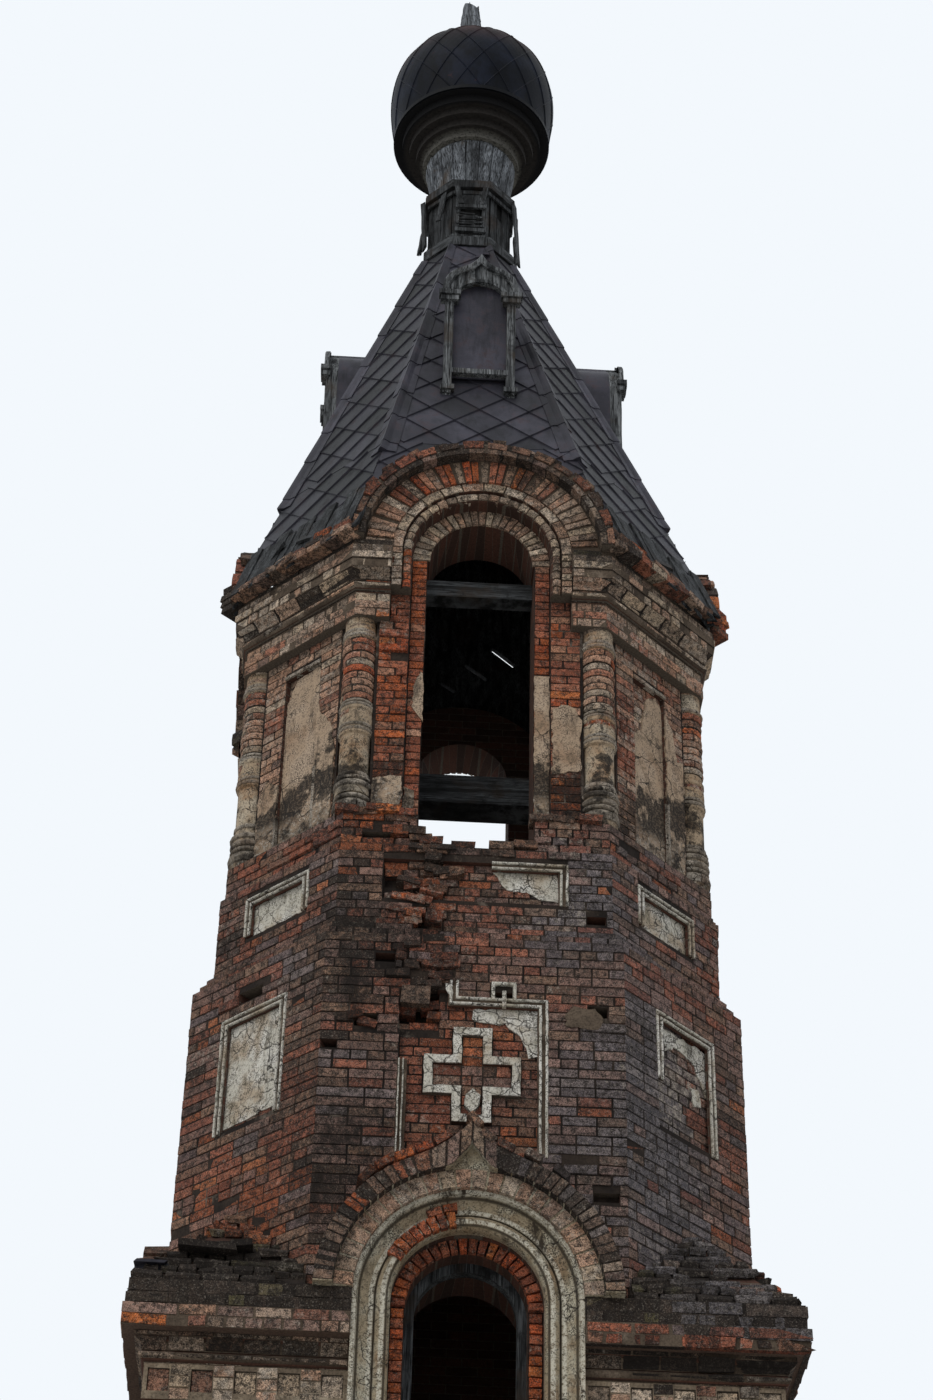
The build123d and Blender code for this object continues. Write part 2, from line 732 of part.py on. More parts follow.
def roof_plan(level, side, turn):
    z, half, face, shift = level
    h = half - roof_thickness
    f = face - roof_thickness * slope_22
    if side == "cardinal":
        points = [(-face, -half), (face, -half), (f, -h), (-f, -h)]
    else:
        points = [(-face, -half), (-half, -face), (-h, -f), (-f, -h)]
    c = math.cos(math.radians(turn))
    s = math.sin(math.radians(turn))
    return [(x * c - y * s + shift, x * s + y * c) for x, y in points]


with BuildPart() as roof_envelope:
    for low, high in zip(roof_levels, roof_levels[1:]):
        for z, half, face, shift in (low, high):
            with BuildSketch(Plane.XY.offset(z)):
                Polygon(*[(x + shift, y) for x, y in octagon_ring(half, face)], align=None)
        loft(ruled=True)

with BuildPart() as arch_clearance:
    with BuildSketch(Plane.XZ):
        with Locations((0, bell_spring)):
            Circle(fifth_outer + arch_gap)
        upper_half(2 * fifth_outer, eave_z - 50)
    extrude(amount=2 * eave_half, both=True)
    add(arch_clearance.part, rotation=(0, 0, 90))

# Slits of light where boards of the back panel have gone, as (x, z, length, height, angle)
light_slits = [(-157, 18408, 185, 30, -31), (128, 18570, 265, 34, -32), (398, 18736, 285, 42, -35),
               (-189, 18794, 45, 30, 0)]
slit_y = 1300.0
with BuildPart() as tent_panels_cardinal:
    for turn in (0, 90, 180, 270):
        for low, high in zip(roof_levels, roof_levels[1:]):
            for level in (low, high):
                with BuildSketch(Plane.XY.offset(level[0])):
                    Polygon(*roof_plan(level, "cardinal", turn), align=None)
            loft(ruled=True)
    add(arch_clearance.part, mode=Mode.SUBTRACT)
    for x, z, length, height, angle in light_slits:
        with BuildSketch(Plane.XZ.offset(-slit_y)):
            with Locations(Location((x, z), angle)):
                Rectangle(length, height)
        extrude(amount=slit_y - eave_half, mode=Mode.SUBTRACT)

# The eave is broken away at the front corners, as (x, y, z, size)
broken_eaves = [(1680, -1680, 17100, 620), (-1760, -1600, 17100, 420)]
with BuildPart() as tent_panels_diagonal:
    for turn in (0, 90, 180, 270):
        for low, high in zip(roof_levels, roof_levels[1:]):
            for level in (low, high):
                with BuildSketch(Plane.XY.offset(level[0])):
                    Polygon(*roof_plan(level, "diagonal", turn), align=None)
            loft(ruled=True)
    add(arch_clearance.part, mode=Mode.SUBTRACT)
    with Locations(*[(x, y, z) for x, y, z, size in broken_eaves]):
        Box(500, 500, 420, rotation=(0, 0, 45), mode=Mode.SUBTRACT)

# Hip caps and the rafters under the hips
def hip_point(z, inset, corner):
    for low, high in zip(roof_levels, roof_levels[1:]):
        if low[0] <= z <= high[0]:
            t = (z - low[0]) / (high[0] - low[0])
            half, face, shift = [low[i] + (high[i] - low[i]) * t for i in (1, 2, 3)]
    ring = octagon_ring(half - inset, face - inset * slope_22)
    return Vector(ring[corner][0] + shift, ring[corner][1], z)


with BuildPart() as hip_caps:
    for corner in range(8):
        start = hip_point(cap_start_z, 0, corner)
        end = hip_point(tent_top_z, 0, corner)
        along = end - start
        with BuildSketch(Plane(origin=start, z_dir=along)):
            Circle(cap_bottom_radius)
        with BuildSketch(Plane(origin=end - along * 0.01, z_dir=along)):
            Circle(cap_top_radius)
        loft()
    add(roof_envelope.part, mode=Mode.SUBTRACT)

with BuildPart() as hip_rafters:
    for corner in range(8):
        start = hip_point(eave_z, roof_thickness + rafter_depth * 0.4, corner)
        end = hip_point(tent_top_z, roof_thickness + rafter_depth * 0.4, corner)
        along = end - start
        side = Vector(-start.Y, start.X, 0)
        for point in (start - along * 0.03, end - along * 0.012):
            with BuildSketch(Plane(origin=point, x_dir=side, z_dir=along)):
                Rectangle(rafter_width, rafter_depth)
        loft(ruled=True)
    split(bisect_by=Plane.XY.offset(bell_cornice_top), keep=Keep.TOP)
    add([tent_panels_cardinal.part, tent_panels_diagonal.part], mode=Mode.SUBTRACT)
    add([bell_arch_front.part, bell_arches_sides.part, bell_arch_back.part], mode=Mode.SUBTRACT)
    whole = hip_rafters.solids().sort_by(SortBy.VOLUME)[-8:]
    add(whole, mode=Mode.REPLACE)

# Dormers: a keel-arched skin back to the roof, a timber frame and a sheet in it
with BuildSketch() as keel_outline:
    with BuildLine():
        keel_rise = dormer_peak - dormer_spring
        shoulder = (0.86 * dormer_half, dormer_spring + 0.34 * keel_rise)
        turn_point = (0.5 * dormer_half, dormer_spring + 0.66 * keel_rise)
        waist = (0.2 * dormer_half, dormer_spring + 0.81 * keel_rise)
        Polyline((0, dormer_foot), (dormer_half, dormer_foot), (dormer_half, dormer_spring))
        ThreePointArc((dormer_half, dormer_spring), shoulder, turn_point)
        ThreePointArc(turn_point, waist, (0, dormer_peak))
        Line((0, dormer_peak), (0, dormer_foot))
    make_face()
    mirror(about=Plane.YZ)

with BuildPart() as dormer_roof:
    with BuildSketch(Plane.XZ.offset(dormer_front - dormer_frame_depth)):
        add(keel_outline.sketch)
        offset(amount=-dormer_skin, mode=Mode.SUBTRACT)
    extrude(amount=-dormer_front + dormer_frame_depth + 200)
    with BuildSketch(Plane.XY.offset(dormer_foot)):
        Rectangle(4 * dormer_half, 4 * dormer_front)
    extrude(amount=2 * dormer_skin, mode=Mode.SUBTRACT)

with BuildPart() as dormer_roofs:
    with Locations((dormer_shift, 0, 0)):
        with PolarLocations(0, 4):
            add(dormer_roof.part)
    add(roof_envelope.part, mode=Mode.SUBTRACT)

with BuildPart() as dormer_frame:
    with BuildSketch(Plane.XZ.offset(dormer_front - dormer_frame_depth)):
        add(keel_outline.sketch)
        with Locations((0, dormer_foot)):
            Rectangle(2 * (dormer_half - dormer_post), dormer_spring - dormer_foot,
                      align=(Align.CENTER, Align.MIN), mode=Mode.SUBTRACT)
        with Locations((0, dormer_spring)):
            Circle(dormer_half - dormer_post, mode=Mode.SUBTRACT)
    extrude(amount=dormer_frame_depth)

with BuildPart() as dormer_frames:
    with Locations((dormer_shift, 0, 0)):
        with PolarLocations(0, 4):
            add(dormer_frame.part)
    add(roof_envelope.part, mode=Mode.SUBTRACT)

with BuildPart() as dormer_panel:
    with BuildSketch(Plane.XZ.offset(dormer_front - 60)):
        with Locations((0, dormer_panel_bottom)):
            Rectangle(2 * (dormer_half - dormer_post), dormer_spring - dormer_panel_bottom,
                      align=(Align.CENTER, Align.MIN))
        with Locations((0, dormer_spring)):
            Circle(dormer_half - dormer_post)
    extrude(amount=-12)

with BuildPart() as dormer_panels:
    with Locations((dormer_shift, 0, 0)):
        with PolarLocations(0, 4):
            add(dormer_panel.part)
    add(roof_envelope.part, mode=Mode.SUBTRACT)

# Lantern on the roof, set over the leaning top
lantern_bottom = tent_top_z + lower_ledge_height
with BuildPart() as lantern_ledges:
    for z, height in ((tent_top_z, lower_ledge_height), (upper_ledge_z, upper_ledge_height)):
        with BuildSketch(Plane.XY.offset(z)):
            with Locations((-lean, 0)):
                Polygon(*octagon_ring(ledge_half, ledge_face), align=None)
        extrude(amount=height)

post_ring = octagon_ring(lantern_half - lantern_post / 2, lantern_face - lantern_post / 2)
with BuildPart() as lantern_posts:
    with BuildSketch(Plane.XY.offset(lantern_bottom)):
        with Locations(*[Location((x - lean, y), math.degrees(math.atan2(y, x))) for x, y in post_ring]):
            Rectangle(lantern_post, lantern_post)
    extrude(amount=upper_ledge_z - lantern_bottom)

board_height = upper_ledge_z - lantern_bottom
with BuildPart() as lantern_boards:
    for i in range(8):
        x0, y0 = post_ring[i]
        x1, y1 = post_ring[(i + 1) % 8]
        span = math.hypot(x1 - x0, y1 - y0) - 1.25 * lantern_post - 6
        angle = math.degrees(math.atan2(y1 - y0, x1 - x0))
        with BuildSketch(Plane.XY.offset(lantern_bottom)):
            with Locations(Location(((x0 + x1) / 2 - lean, (y0 + y1) / 2), angle)):
                Rectangle(span, lantern_board)
        extrude(amount=board_height)

# Drum under the dome, wider at the top
drum_bottom = upper_ledge_z + upper_ledge_height
with BuildPart() as dome_drum:
    with BuildSketch(Plane.XZ):
        Polygon((0, drum_bottom), (drum_bottom_radius, drum_bottom), (drum_top_radius, drum_top_z),
                (0, drum_top_z), align=None)
    revolve(axis=Axis.Z)
    moved = dome_drum.part.moved(Location((-lean, 0, 0)))
    add(moved, mode=Mode.REPLACE)

# Underside of the dome in rings that step up and out to the rim
ring_count = 4
with BuildPart() as dome_soffit:
    with BuildSketch(Plane.XZ):
        points = [(0, drum_top_z)]
        for i in range(ring_count):
            r = drum_top_radius + 55 + (rim_radius - drum_top_radius - 55) * i / ring_count
            z = drum_top_z + (rim_z - drum_top_z) * i / ring_count
            points.append((r, z))
            points.append((r, z + (rim_z - drum_top_z) / ring_count))
        points.append((rim_radius, rim_z - 4))
        points.append((rim_radius, rim_z + 40))
        points.append((0, rim_z + 40))
        Polygon(*points, align=None)
    revolve(axis=Axis.Z)
    moved = dome_soffit.part.moved(Location((-lean, 0, 0)))
    add(moved, mode=Mode.REPLACE)

# Broken post that carried the cross
with BuildPart() as cross_post:
    with BuildSketch(Plane.XY.offset(post_bottom_z)):
        Circle(post_radius)
    with BuildSketch(Plane.XY.offset(post_top_z)):
        with Locations((-post_lean, 0)):
            Circle(post_top_radius)
    loft()
    split(bisect_by=Plane(origin=(-post_lean, 0, post_top_z - 70), z_dir=(0.55, -0.2, 1)), keep=Keep.BOTTOM)
    split(bisect_by=Plane(origin=(-post_lean - 40, 0, post_top_z - 20), z_dir=(-1.6, 0.3, 1)), keep=Keep.BOTTOM)
    moved = cross_post.part.moved(Location((-lean, 0, 0)))
    add(moved, mode=Mode.REPLACE)

# Dome in sheet over boards, open inside
dome_low = rim_z + 40
with BuildPart() as dome_shell:
    with BuildSketch(Plane.XZ):
        with BuildLine():
            outer_curve = Spline((rim_radius, dome_low), (dome_radius, dome_wide_z), (760, 25600),
                                 (430, 25880), (0, dome_top_z), tangents=((0.12, 1), (-1, 0)))
            inner_curve = Spline((rim_radius - dome_skin, dome_low), (dome_radius - dome_skin, dome_wide_z),
                                 (740, 25575), (420, 25850), (0, dome_top_z - dome_skin),
                                 tangents=((0.12, 1), (-1, 0)))
            Line(outer_curve @ 0, inner_curve @ 0)
            Line(outer_curve @ 1, inner_curve @ 1)
        make_face()
    revolve(axis=Axis.Z)
    moved = dome_shell.part.moved(Location((-lean, 0, 0)))
    add(moved, mode=Mode.REPLACE)
    add(cross_post.part, mode=Mode.SUBTRACT)

pieces = {
    "plinth": plinth,
    "lower_walls_front_back": lower_walls_front_back,
    "door_arch": door_arch,
    "lower_walls_sides": lower_walls_sides,
    "string_course": string_course,
    "ground_floor": ground_floor,
    "timber_floors": timber_floors,
    "upper_wall_front": upper_wall_front,
    "upper_wall_back": upper_wall_back,
    "upper_wall_left": upper_wall_left,
    "upper_wall_right": upper_wall_right,
    "under_window_walls": under_window_walls,
    "window_frames": window_frames,
    "kokoshnik_front": kokoshnik_front,
    "kokoshnik_back": kokoshnik_back,
    "kokoshniks_sides": kokoshniks_sides,
    "square_frieze": square_frieze,
    "square_cornice": square_cornice,
    "corner_roofs": corner_roofs,
    "tier_wall_front": tier_wall_front,
    "tier_wall_right": tier_wall_right,
    "tier_wall_back": tier_wall_back,
    "tier_wall_left": tier_wall_left,
    "tier_walls_diagonal": tier_walls_diagonal,
    "bell_piers": bell_piers,
    "bell_columns": bell_columns,
    "bell_cornice": bell_cornice,
    "bell_arch_front": bell_arch_front,
    "bell_arch_back": bell_arch_back,
    "bell_arches_sides": bell_arches_sides,
    "bell_beams": bell_beams,
    "tent_panels_cardinal": tent_panels_cardinal,
    "tent_panels_diagonal": tent_panels_diagonal,
    "hip_caps": hip_caps,
    "hip_rafters": hip_rafters,
    "dormer_roofs": dormer_roofs,
    "dormer_frames": dormer_frames,
    "dormer_panels": dormer_panels,
    "lantern_ledges": lantern_ledges,
    "lantern_posts": lantern_posts,
    "lantern_boards": lantern_boards,
    "dome_drum": dome_drum,
    "dome_soffit": dome_soffit,
    "dome_shell": dome_shell,
    "cross_post": cross_post,
}

for name, piece in pieces.items():
    piece.part.label = name
    export_step(piece.part, f"parts/{name}.step")
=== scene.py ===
import json
import math
import random

import bpy
from mathutils import Matrix, Vector, noise
from mathutils.geometry import tessellate_polygon


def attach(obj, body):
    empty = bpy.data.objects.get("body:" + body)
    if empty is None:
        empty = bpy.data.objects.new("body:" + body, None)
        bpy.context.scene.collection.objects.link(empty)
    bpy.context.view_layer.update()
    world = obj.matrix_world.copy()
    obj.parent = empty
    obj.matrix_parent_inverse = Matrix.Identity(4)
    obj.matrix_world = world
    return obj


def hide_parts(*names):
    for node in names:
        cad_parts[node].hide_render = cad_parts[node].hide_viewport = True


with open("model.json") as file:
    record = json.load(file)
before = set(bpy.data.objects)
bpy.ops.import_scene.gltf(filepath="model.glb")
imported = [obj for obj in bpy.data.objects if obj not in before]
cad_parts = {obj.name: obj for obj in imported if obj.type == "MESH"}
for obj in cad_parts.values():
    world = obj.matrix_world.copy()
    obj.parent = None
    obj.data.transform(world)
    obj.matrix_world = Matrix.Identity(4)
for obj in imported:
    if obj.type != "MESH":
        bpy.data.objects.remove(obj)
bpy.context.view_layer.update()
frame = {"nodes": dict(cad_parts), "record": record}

slope22 = math.tan(math.radians(22.5))
root2 = math.sqrt(2)
cardinals = (0, 90, 180, 270)   # the ways the faces look, in degrees from the front
diagonals = (-45, 45, 135, 225)
archSpring = 9.94   # middle of the kokoshniks' arches
bellSpring = 17.03   # middle of the bell openings' arches
lean = -0.12   # how far the tower's top leans to the left

# Camera, light and floor

photoCamera = {"at": (-0.845, -20.30, 1.60), "pitch": 37.10, "yaw": 2.32, "roll": 1.42, "lens": 70.86,
               "far": 500}
stage = {"sky": "#f3f8fd", "light": "#f2f6ff", "skyLow": 0.42, "skyHigh": 1.16, "sun": 0.95, "sunTurn": -35,
         "sunTilt": 48, "sunWidth": 50, "sunColour": (1.0, 0.98, 0.95), "floorSize": 70, "floor": "#b9b7b2",
         "floorDrop": 0.002}


def linear(hexColour):
    parts = [int(hexColour[i:i + 2], 16) / 255 for i in (1, 3, 5)]
    return tuple(v / 12.92 if v < 0.04045 else ((v + 0.055) / 1.055) ** 2.4 for v in parts) + (1.0,)


# Adds a node with its settings and links. A kind such as Math.ADD says its operation too. Inputs come in
# order, where None leaves one as it is, or by name or number.
def addNode(tree, kind, *inputs, out=0, named=None, **settings):
    kind, _, how = kind.partition(".")
    node = tree.nodes.new("ShaderNode" + kind)
    if how:
        node.operation = how
    for key, value in settings.items():
        setattr(node, key, value)
    for key, value in list(enumerate(inputs)) + list((named or {}).items()):
        if isinstance(value, bpy.types.NodeSocket):
            tree.links.new(value, node.inputs[key])
        elif value is not None:
            node.inputs[key].default_value = value
    return node.outputs if out is None or not node.outputs else node.outputs[out]


def addObject(name, data):
    made = bpy.data.objects.new(name, data)
    bpy.context.scene.collection.objects.link(made)
    return made


def makeCamera():
    pitch, yaw, roll = (math.radians(photoCamera[key]) for key in ("pitch", "yaw", "roll"))
    look = Vector((math.sin(yaw) * math.cos(pitch), math.cos(yaw) * math.cos(pitch), math.sin(pitch)))
    level = Vector((math.cos(yaw), -math.sin(yaw), 0))
    right = level * math.cos(roll) + level.cross(look) * math.sin(roll)
    turned = Matrix((right, right.cross(look), -look)).transposed().to_4x4()
    camera = addObject("photoCamera", bpy.data.cameras.new("photoCamera"))
    camera.matrix_world = Matrix.Translation(photoCamera["at"]) @ turned
    camera.data.lens = photoCamera["lens"]
    camera.data.clip_end = photoCamera["far"]
    bpy.context.scene.camera = camera


def makeStage():
    scene = bpy.context.scene
    scene.view_settings.view_transform = "Standard"
    scene.world = bpy.data.worlds.new("overcast")
    scene.world.use_nodes = True
    tree = scene.world.node_tree
    tree.nodes.clear()
    camera, glossy, clear = (addNode(tree, "LightPath", out=f"Is {ray} Ray")
                             for ray in ("Camera", "Glossy", "Transmission"))
    seen = addNode(tree, "Math.MAXIMUM", addNode(tree, "Math.MAXIMUM", camera, glossy), clear)
    height = addNode(tree, "SeparateXYZ", addNode(tree, "TexCoord", out="Generated"), out=2)
    glow = addNode(tree, "MapRange", height, -0.1, 0.9, stage["skyLow"], stage["skyHigh"])
    light = addNode(tree, "Background", linear(stage["light"]), glow)
    shown = addNode(tree, "Background", linear(stage["sky"]), 1.0)
    addNode(tree, "OutputWorld", addNode(tree, "MixShader", seen, light, shown))

    sun = addObject("softSun", bpy.data.lights.new("softSun", "SUN"))
    sun.data.energy = stage["sun"]
    sun.data.angle = math.radians(stage["sunWidth"])
    sun.data.color = stage["sunColour"]
    sun.rotation_euler = (math.radians(stage["sunTilt"]), 0, math.radians(stage["sunTurn"]))

    half = stage["floorSize"]
    mesh = bpy.data.meshes.new("floor")
    mesh.from_pydata([(-half, -half, 0), (half, -half, 0), (half, half, 0), (-half, half, 0)], [],
                     [(0, 1, 2, 3)])
    floor = addObject("floor", mesh)
    floor.location.z = -stage["floorDrop"]
    material = bpy.data.materials.new("paleFloor")
    material.use_nodes = True
    shader = material.node_tree.nodes["Principled BSDF"]
    shader.inputs["Base Color"].default_value = linear(stage["floor"])
    shader.inputs["Roughness"].default_value = 0.95
    mesh.materials.append(material)


makeCamera()
makeStage()
print("camera, light and floor")

# Materials

finishes = {
    "firedClay": {"lime": "#b3a797", "soot": "#1c1815", "crust": "#2b2622", "dust": "#8a8175"},
    "limeMortar": {"dark": "#1f1a17", "mid": "#3a312a", "pale": "#7c7063"},
    "washedMortar": {"dark": "#43392f", "mid": "#635648", "pale": "#857767"},
    "paleMortar": {"dark": "#6f6252", "mid": "#93836d", "pale": "#b3a48d"},
    "limePlaster": {"body": "#988a71", "white": "#bab49f", "peach": "#8a6f52", "stain": "#3a332a",
                    "moss": "#665e4a"},
    "bellPlaster": {"body": "#a9937a", "white": "#b9a48c", "peach": "#987d64", "stain": "#4a4037",
                    "moss": "#6b5f4c"},
    "columnWash": {"body": "#a69278", "white": "#bcae97", "peach": "#93704f", "stain": "#332e29",
                   "moss": "#4d4a37"},
    "columnRing": {"body": "#8c8172", "white": "#b0a697", "peach": "#8b7360", "stain": "#332e28",
                   "moss": "#5a5344"},
    "panelPlaster": {"body": "#c2bdae", "white": "#dedacf", "peach": "#a8967e", "stain": "#3f3a30",
                     "moss": "#7c7a66"},
    "greyPine": {"pale": "#8d9296", "mid": "#505356", "dark": "#141515", "brown": "#514538"},
    "dormerPine": {"pale": "#808383", "mid": "#333536", "dark": "#090909", "brown": "#3f362c"},
    # nearly black pine for the lantern's boards: painted shade, so its bays read as dark open gaps
    "lanternShadePine": {"pale": "#2a2928", "mid": "#171716", "dark": "#070707", "brown": "#1f1914"},
    "darkPine": {"pale": "#5a5d5e", "mid": "#262727", "dark": "#0c0c0c", "brown": "#32281f"},
    "floorPine": {"mid": "#4a4239", "pale": "#6b6154", "dark": "#26211c", "damp": "#33302a",
                  "joint": "#0b0a09"},
    "soffitPine": {"pale": "#615f58", "mid": "#262320", "black": "#0e0e0f", "dark": "#100e0d"},
    "roofSteel": {"body": "#2e2d34", "pale": "#43424b", "rust": "#452f28", "dark": "#101112"},
    "domeSteel": {"body": "#0b0e15", "pale": "#191e2a", "rust": "#50342a", "dark": "#060708"},
}
innerBond = {"Color1": "#5c3d31", "Color2": "#3d2e27", "Mortar": "#5f564b", "dust": "#241d19",
             "crumb": "#171411"}


class Finish:   # a material under way, with the colour laid so far in body
    def __init__(self, name, roughness, shine=0.15, colours=None):
        self.material = bpy.data.materials.new(name)
        self.material.use_nodes = True
        self.colours = finishes[colours or name]
        self.tree = self.material.node_tree
        self.shader = self.tree.nodes["Principled BSDF"].inputs
        self.shader["Roughness"].default_value = roughness
        self.shader["Specular IOR Level"].default_value = shine
        self.place = self.add("TexCoord", out="Object")
        self.body = None

    def add(self, kind, *inputs, **settings):
        return addNode(self.tree, kind, *inputs, **settings)

    # lumps about as wide as that size
    def grain(self, millimetres, detail=3.0, rough=0.55, stretch=(1, 1, 1)):
        scaled = self.add("Mapping", self.place, named={"Scale": stretch})
        return self.add("TexNoise", scaled, None, 1000 / millimetres, detail, rough)

    def start(self, mask, low, high, first, second):   # the first two colours, parted by a mask
        self.body = linear(self.colours[first])
        self.coat(mask, second, low, high)

    # from low to high the mask fades in
    def coat(self, mask, colour, low=None, high=None, most=1.0, how="MIX"):
        if low is not None:
            mask = self.add("MapRange", mask, low, high, 0.0, most)
        if isinstance(colour, str):
            colour = linear(self.colours.get(colour, colour))
        self.body = self.add("Mix", mask, named={6: self.body, 7: colour}, out=2, data_type="RGBA",
                             blend_type=how)

    def finish(self, height, strength, depth):
        self.tree.links.new(self.body, self.shader["Base Color"])
        bump = self.add("Bump", strength, depth, named={"Height": height})
        self.tree.links.new(bump, self.shader["Normal"])
        return self.material


# Fired clay brick, moulded by hand: dull, gritty, with old limewash and soot held in patches
def makeFiredClay():
    paint = Finish("firedClay", 0.93)
    add, grain = paint.add, paint.grain
    tint = add("Attribute", out="Color", attribute_name="tint")
    lime, soot = (add("Attribute", out="Fac", attribute_name=name) for name in ("lime", "soot"))
    lumps, grit, crust = grain(60, 5, 0.65), grain(8, 3, 0.65), grain(46, 9, 0.76)
    uneven = [add("MapRange", lumps, 0.3, 0.7, *ends) for ends in ((0.45, 1.9), (0.45, 1.72), (0.48, 1.6))]
    paint.body = tint
    paint.coat(0.85, add("CombineColor", *uneven), how="MULTIPLY")
    paint.coat(add("Math.ADD", crust, add("Math.MULTIPLY", soot, 0.13)), "crust", 0.49, 0.58, 0.88)
    paint.coat(add("Math.ADD", grain(55, 10, 0.76), add("Math.MULTIPLY", lime, 0.42)), "lime", 0.61, 0.78,
               0.85)
    paint.coat(grit, tint, 0.45, 0.37, 0.8, "ADD")
    paint.coat(grit, "soot", 0.51, 0.60, 0.75)
    paint.coat(grain(15, 5, 0.75), "dust", 0.56, 0.65, 0.62)
    smoke = add("Math.ADD", grain(240, 7, 0.68, (1, 1, 0.5)), add("Math.MULTIPLY", soot, 0.45))
    paint.coat(smoke, "soot", 0.64, 0.9, 0.85)
    height = add("Math.ADD", add("Math.MULTIPLY", lumps, 0.8), add("Math.ADD", grit, crust))
    return paint.finish(height, 0.9, 0.008)


# Lime mortar, weathered back behind the bricks, and on inner faces the bond of the bricks themselves
def makeLimeMortar(name):
    paint = Finish(name, 0.95)
    add, grain = paint.add, paint.grain
    crumbs = grain(16, 5, 0.65)
    paint.start(grain(500, 5, 0.6), 0.42, 0.62, "dark", "mid")
    paint.coat(grain(300, 7, 0.68), "pale", 0.57, 0.68, 0.7)
    paint.coat(crumbs, innerBond["crumb"], 0.45, 0.65, 0.55)
    outside = paint.body
    normal = add("NewGeometry", out="Normal")
    nx, ny, _ = add("SeparateXYZ", normal, out=None)
    x, y, z = add("SeparateXYZ", paint.place, out=None)
    along = add("Math.SUBTRACT", add("Math.MULTIPLY", y, nx), add("Math.MULTIPLY", x, ny))
    bricks = {key: linear(innerBond[key]) for key in ("Color1", "Color2", "Mortar")}
    bricks |= {"Scale": 1.0, "Mortar Size": 0.006, "Mortar Smooth": 0.3, "Bias": 0.0, "Brick Width": 0.264,
               "Row Height": 0.08}
    colour, gaps = add("TexBrick", add("CombineXYZ", along, z), named=bricks, out=None)
    paint.body = colour
    paint.coat(crumbs, innerBond["dust"], 0.4, 0.7, 0.6)
    facing = add("VectorMath.DOT_PRODUCT", add("VectorMath.NORMALIZE", add("CombineXYZ", x, y)), normal,
                 out=1)
    outward = add("MapRange", facing, 0.55, 0.60)
    paint.coat(outward, outside)
    joint = add("Math.MULTIPLY", add("Math.SUBTRACT", 1.0, gaps), add("Math.SUBTRACT", 1.0, outward))
    return paint.finish(add("Math.ADD", crumbs, joint), 0.6, 0.006)


# Rolls of a run moulding keep their whitewash, lighter on the crests as painted highlight too, and its
# grooves get painted shade, by distance from the arch's middle
def paintBeadHighlightAndShade(paint, beads, x, y, z, fine):
    add = paint.add
    across = add("Math.MINIMUM", add("Math.ABSOLUTE", x), add("Math.ABSOLUTE", y))
    above = add("Math.MAXIMUM", add("Math.SUBTRACT", z, archSpring), 0.0)
    squares = [add("Math.MULTIPLY", side, side) for side in (across, above)]
    radius = add("Math.SQRT", add("Math.ADD", *squares))
    for middle, half in beads:
        near = add("Math.ABSOLUTE", add("Math.SUBTRACT", radius, middle))
        # whitewash on each roll's crest, which also stands for a painted highlight
        keep = add("MapRange", near, half, half * 0.6, 0.0, 0.8)
        paint.coat(add("Math.MULTIPLY", keep, add("MapRange", fine, 0.6, 0.5)), "#cbc6b4")
        # painted shade in the groove just inside each roll
        grooveShade = add("Math.ABSOLUTE", add("Math.SUBTRACT", radius, middle - half * 1.25))
        paint.coat(grooveShade, "#241f19", 0.013, 0.004, 0.85)


# Soot of a fire above a level, washed paler again at its foot
def paintSoot(paint, level, z, fine):
    add, grain = paint.add, paint.grain
    edge = add("Math.ADD", z, add("MapRange", grain(420, 7, 0.66), 0.3, 0.7, 0.75, -0.75))
    char = add("Math.MULTIPLY", add("MapRange", edge, level + 0.07, level - 0.07),
               add("MapRange", fine, 0.62, 0.50, 0.35, 0.95))
    washed = add("MapRange", grain(160, 6, 0.7), 0.45, 0.58, 0.25, 1.0)
    char = add("Math.MULTIPLY", char, add("Math.MAXIMUM", washed, add("MapRange", z, 14.45, 14.60)))
    foot = add("Math.MULTIPLY", add("MapRange", z, level - 0.12, level - 0.42),
               add("MapRange", grain(34, 7, 0.74), 0.52, 0.60, 0.0, 0.8))
    paint.coat(foot, "#b9b2a4")
    paint.coat(char, "#25211d")


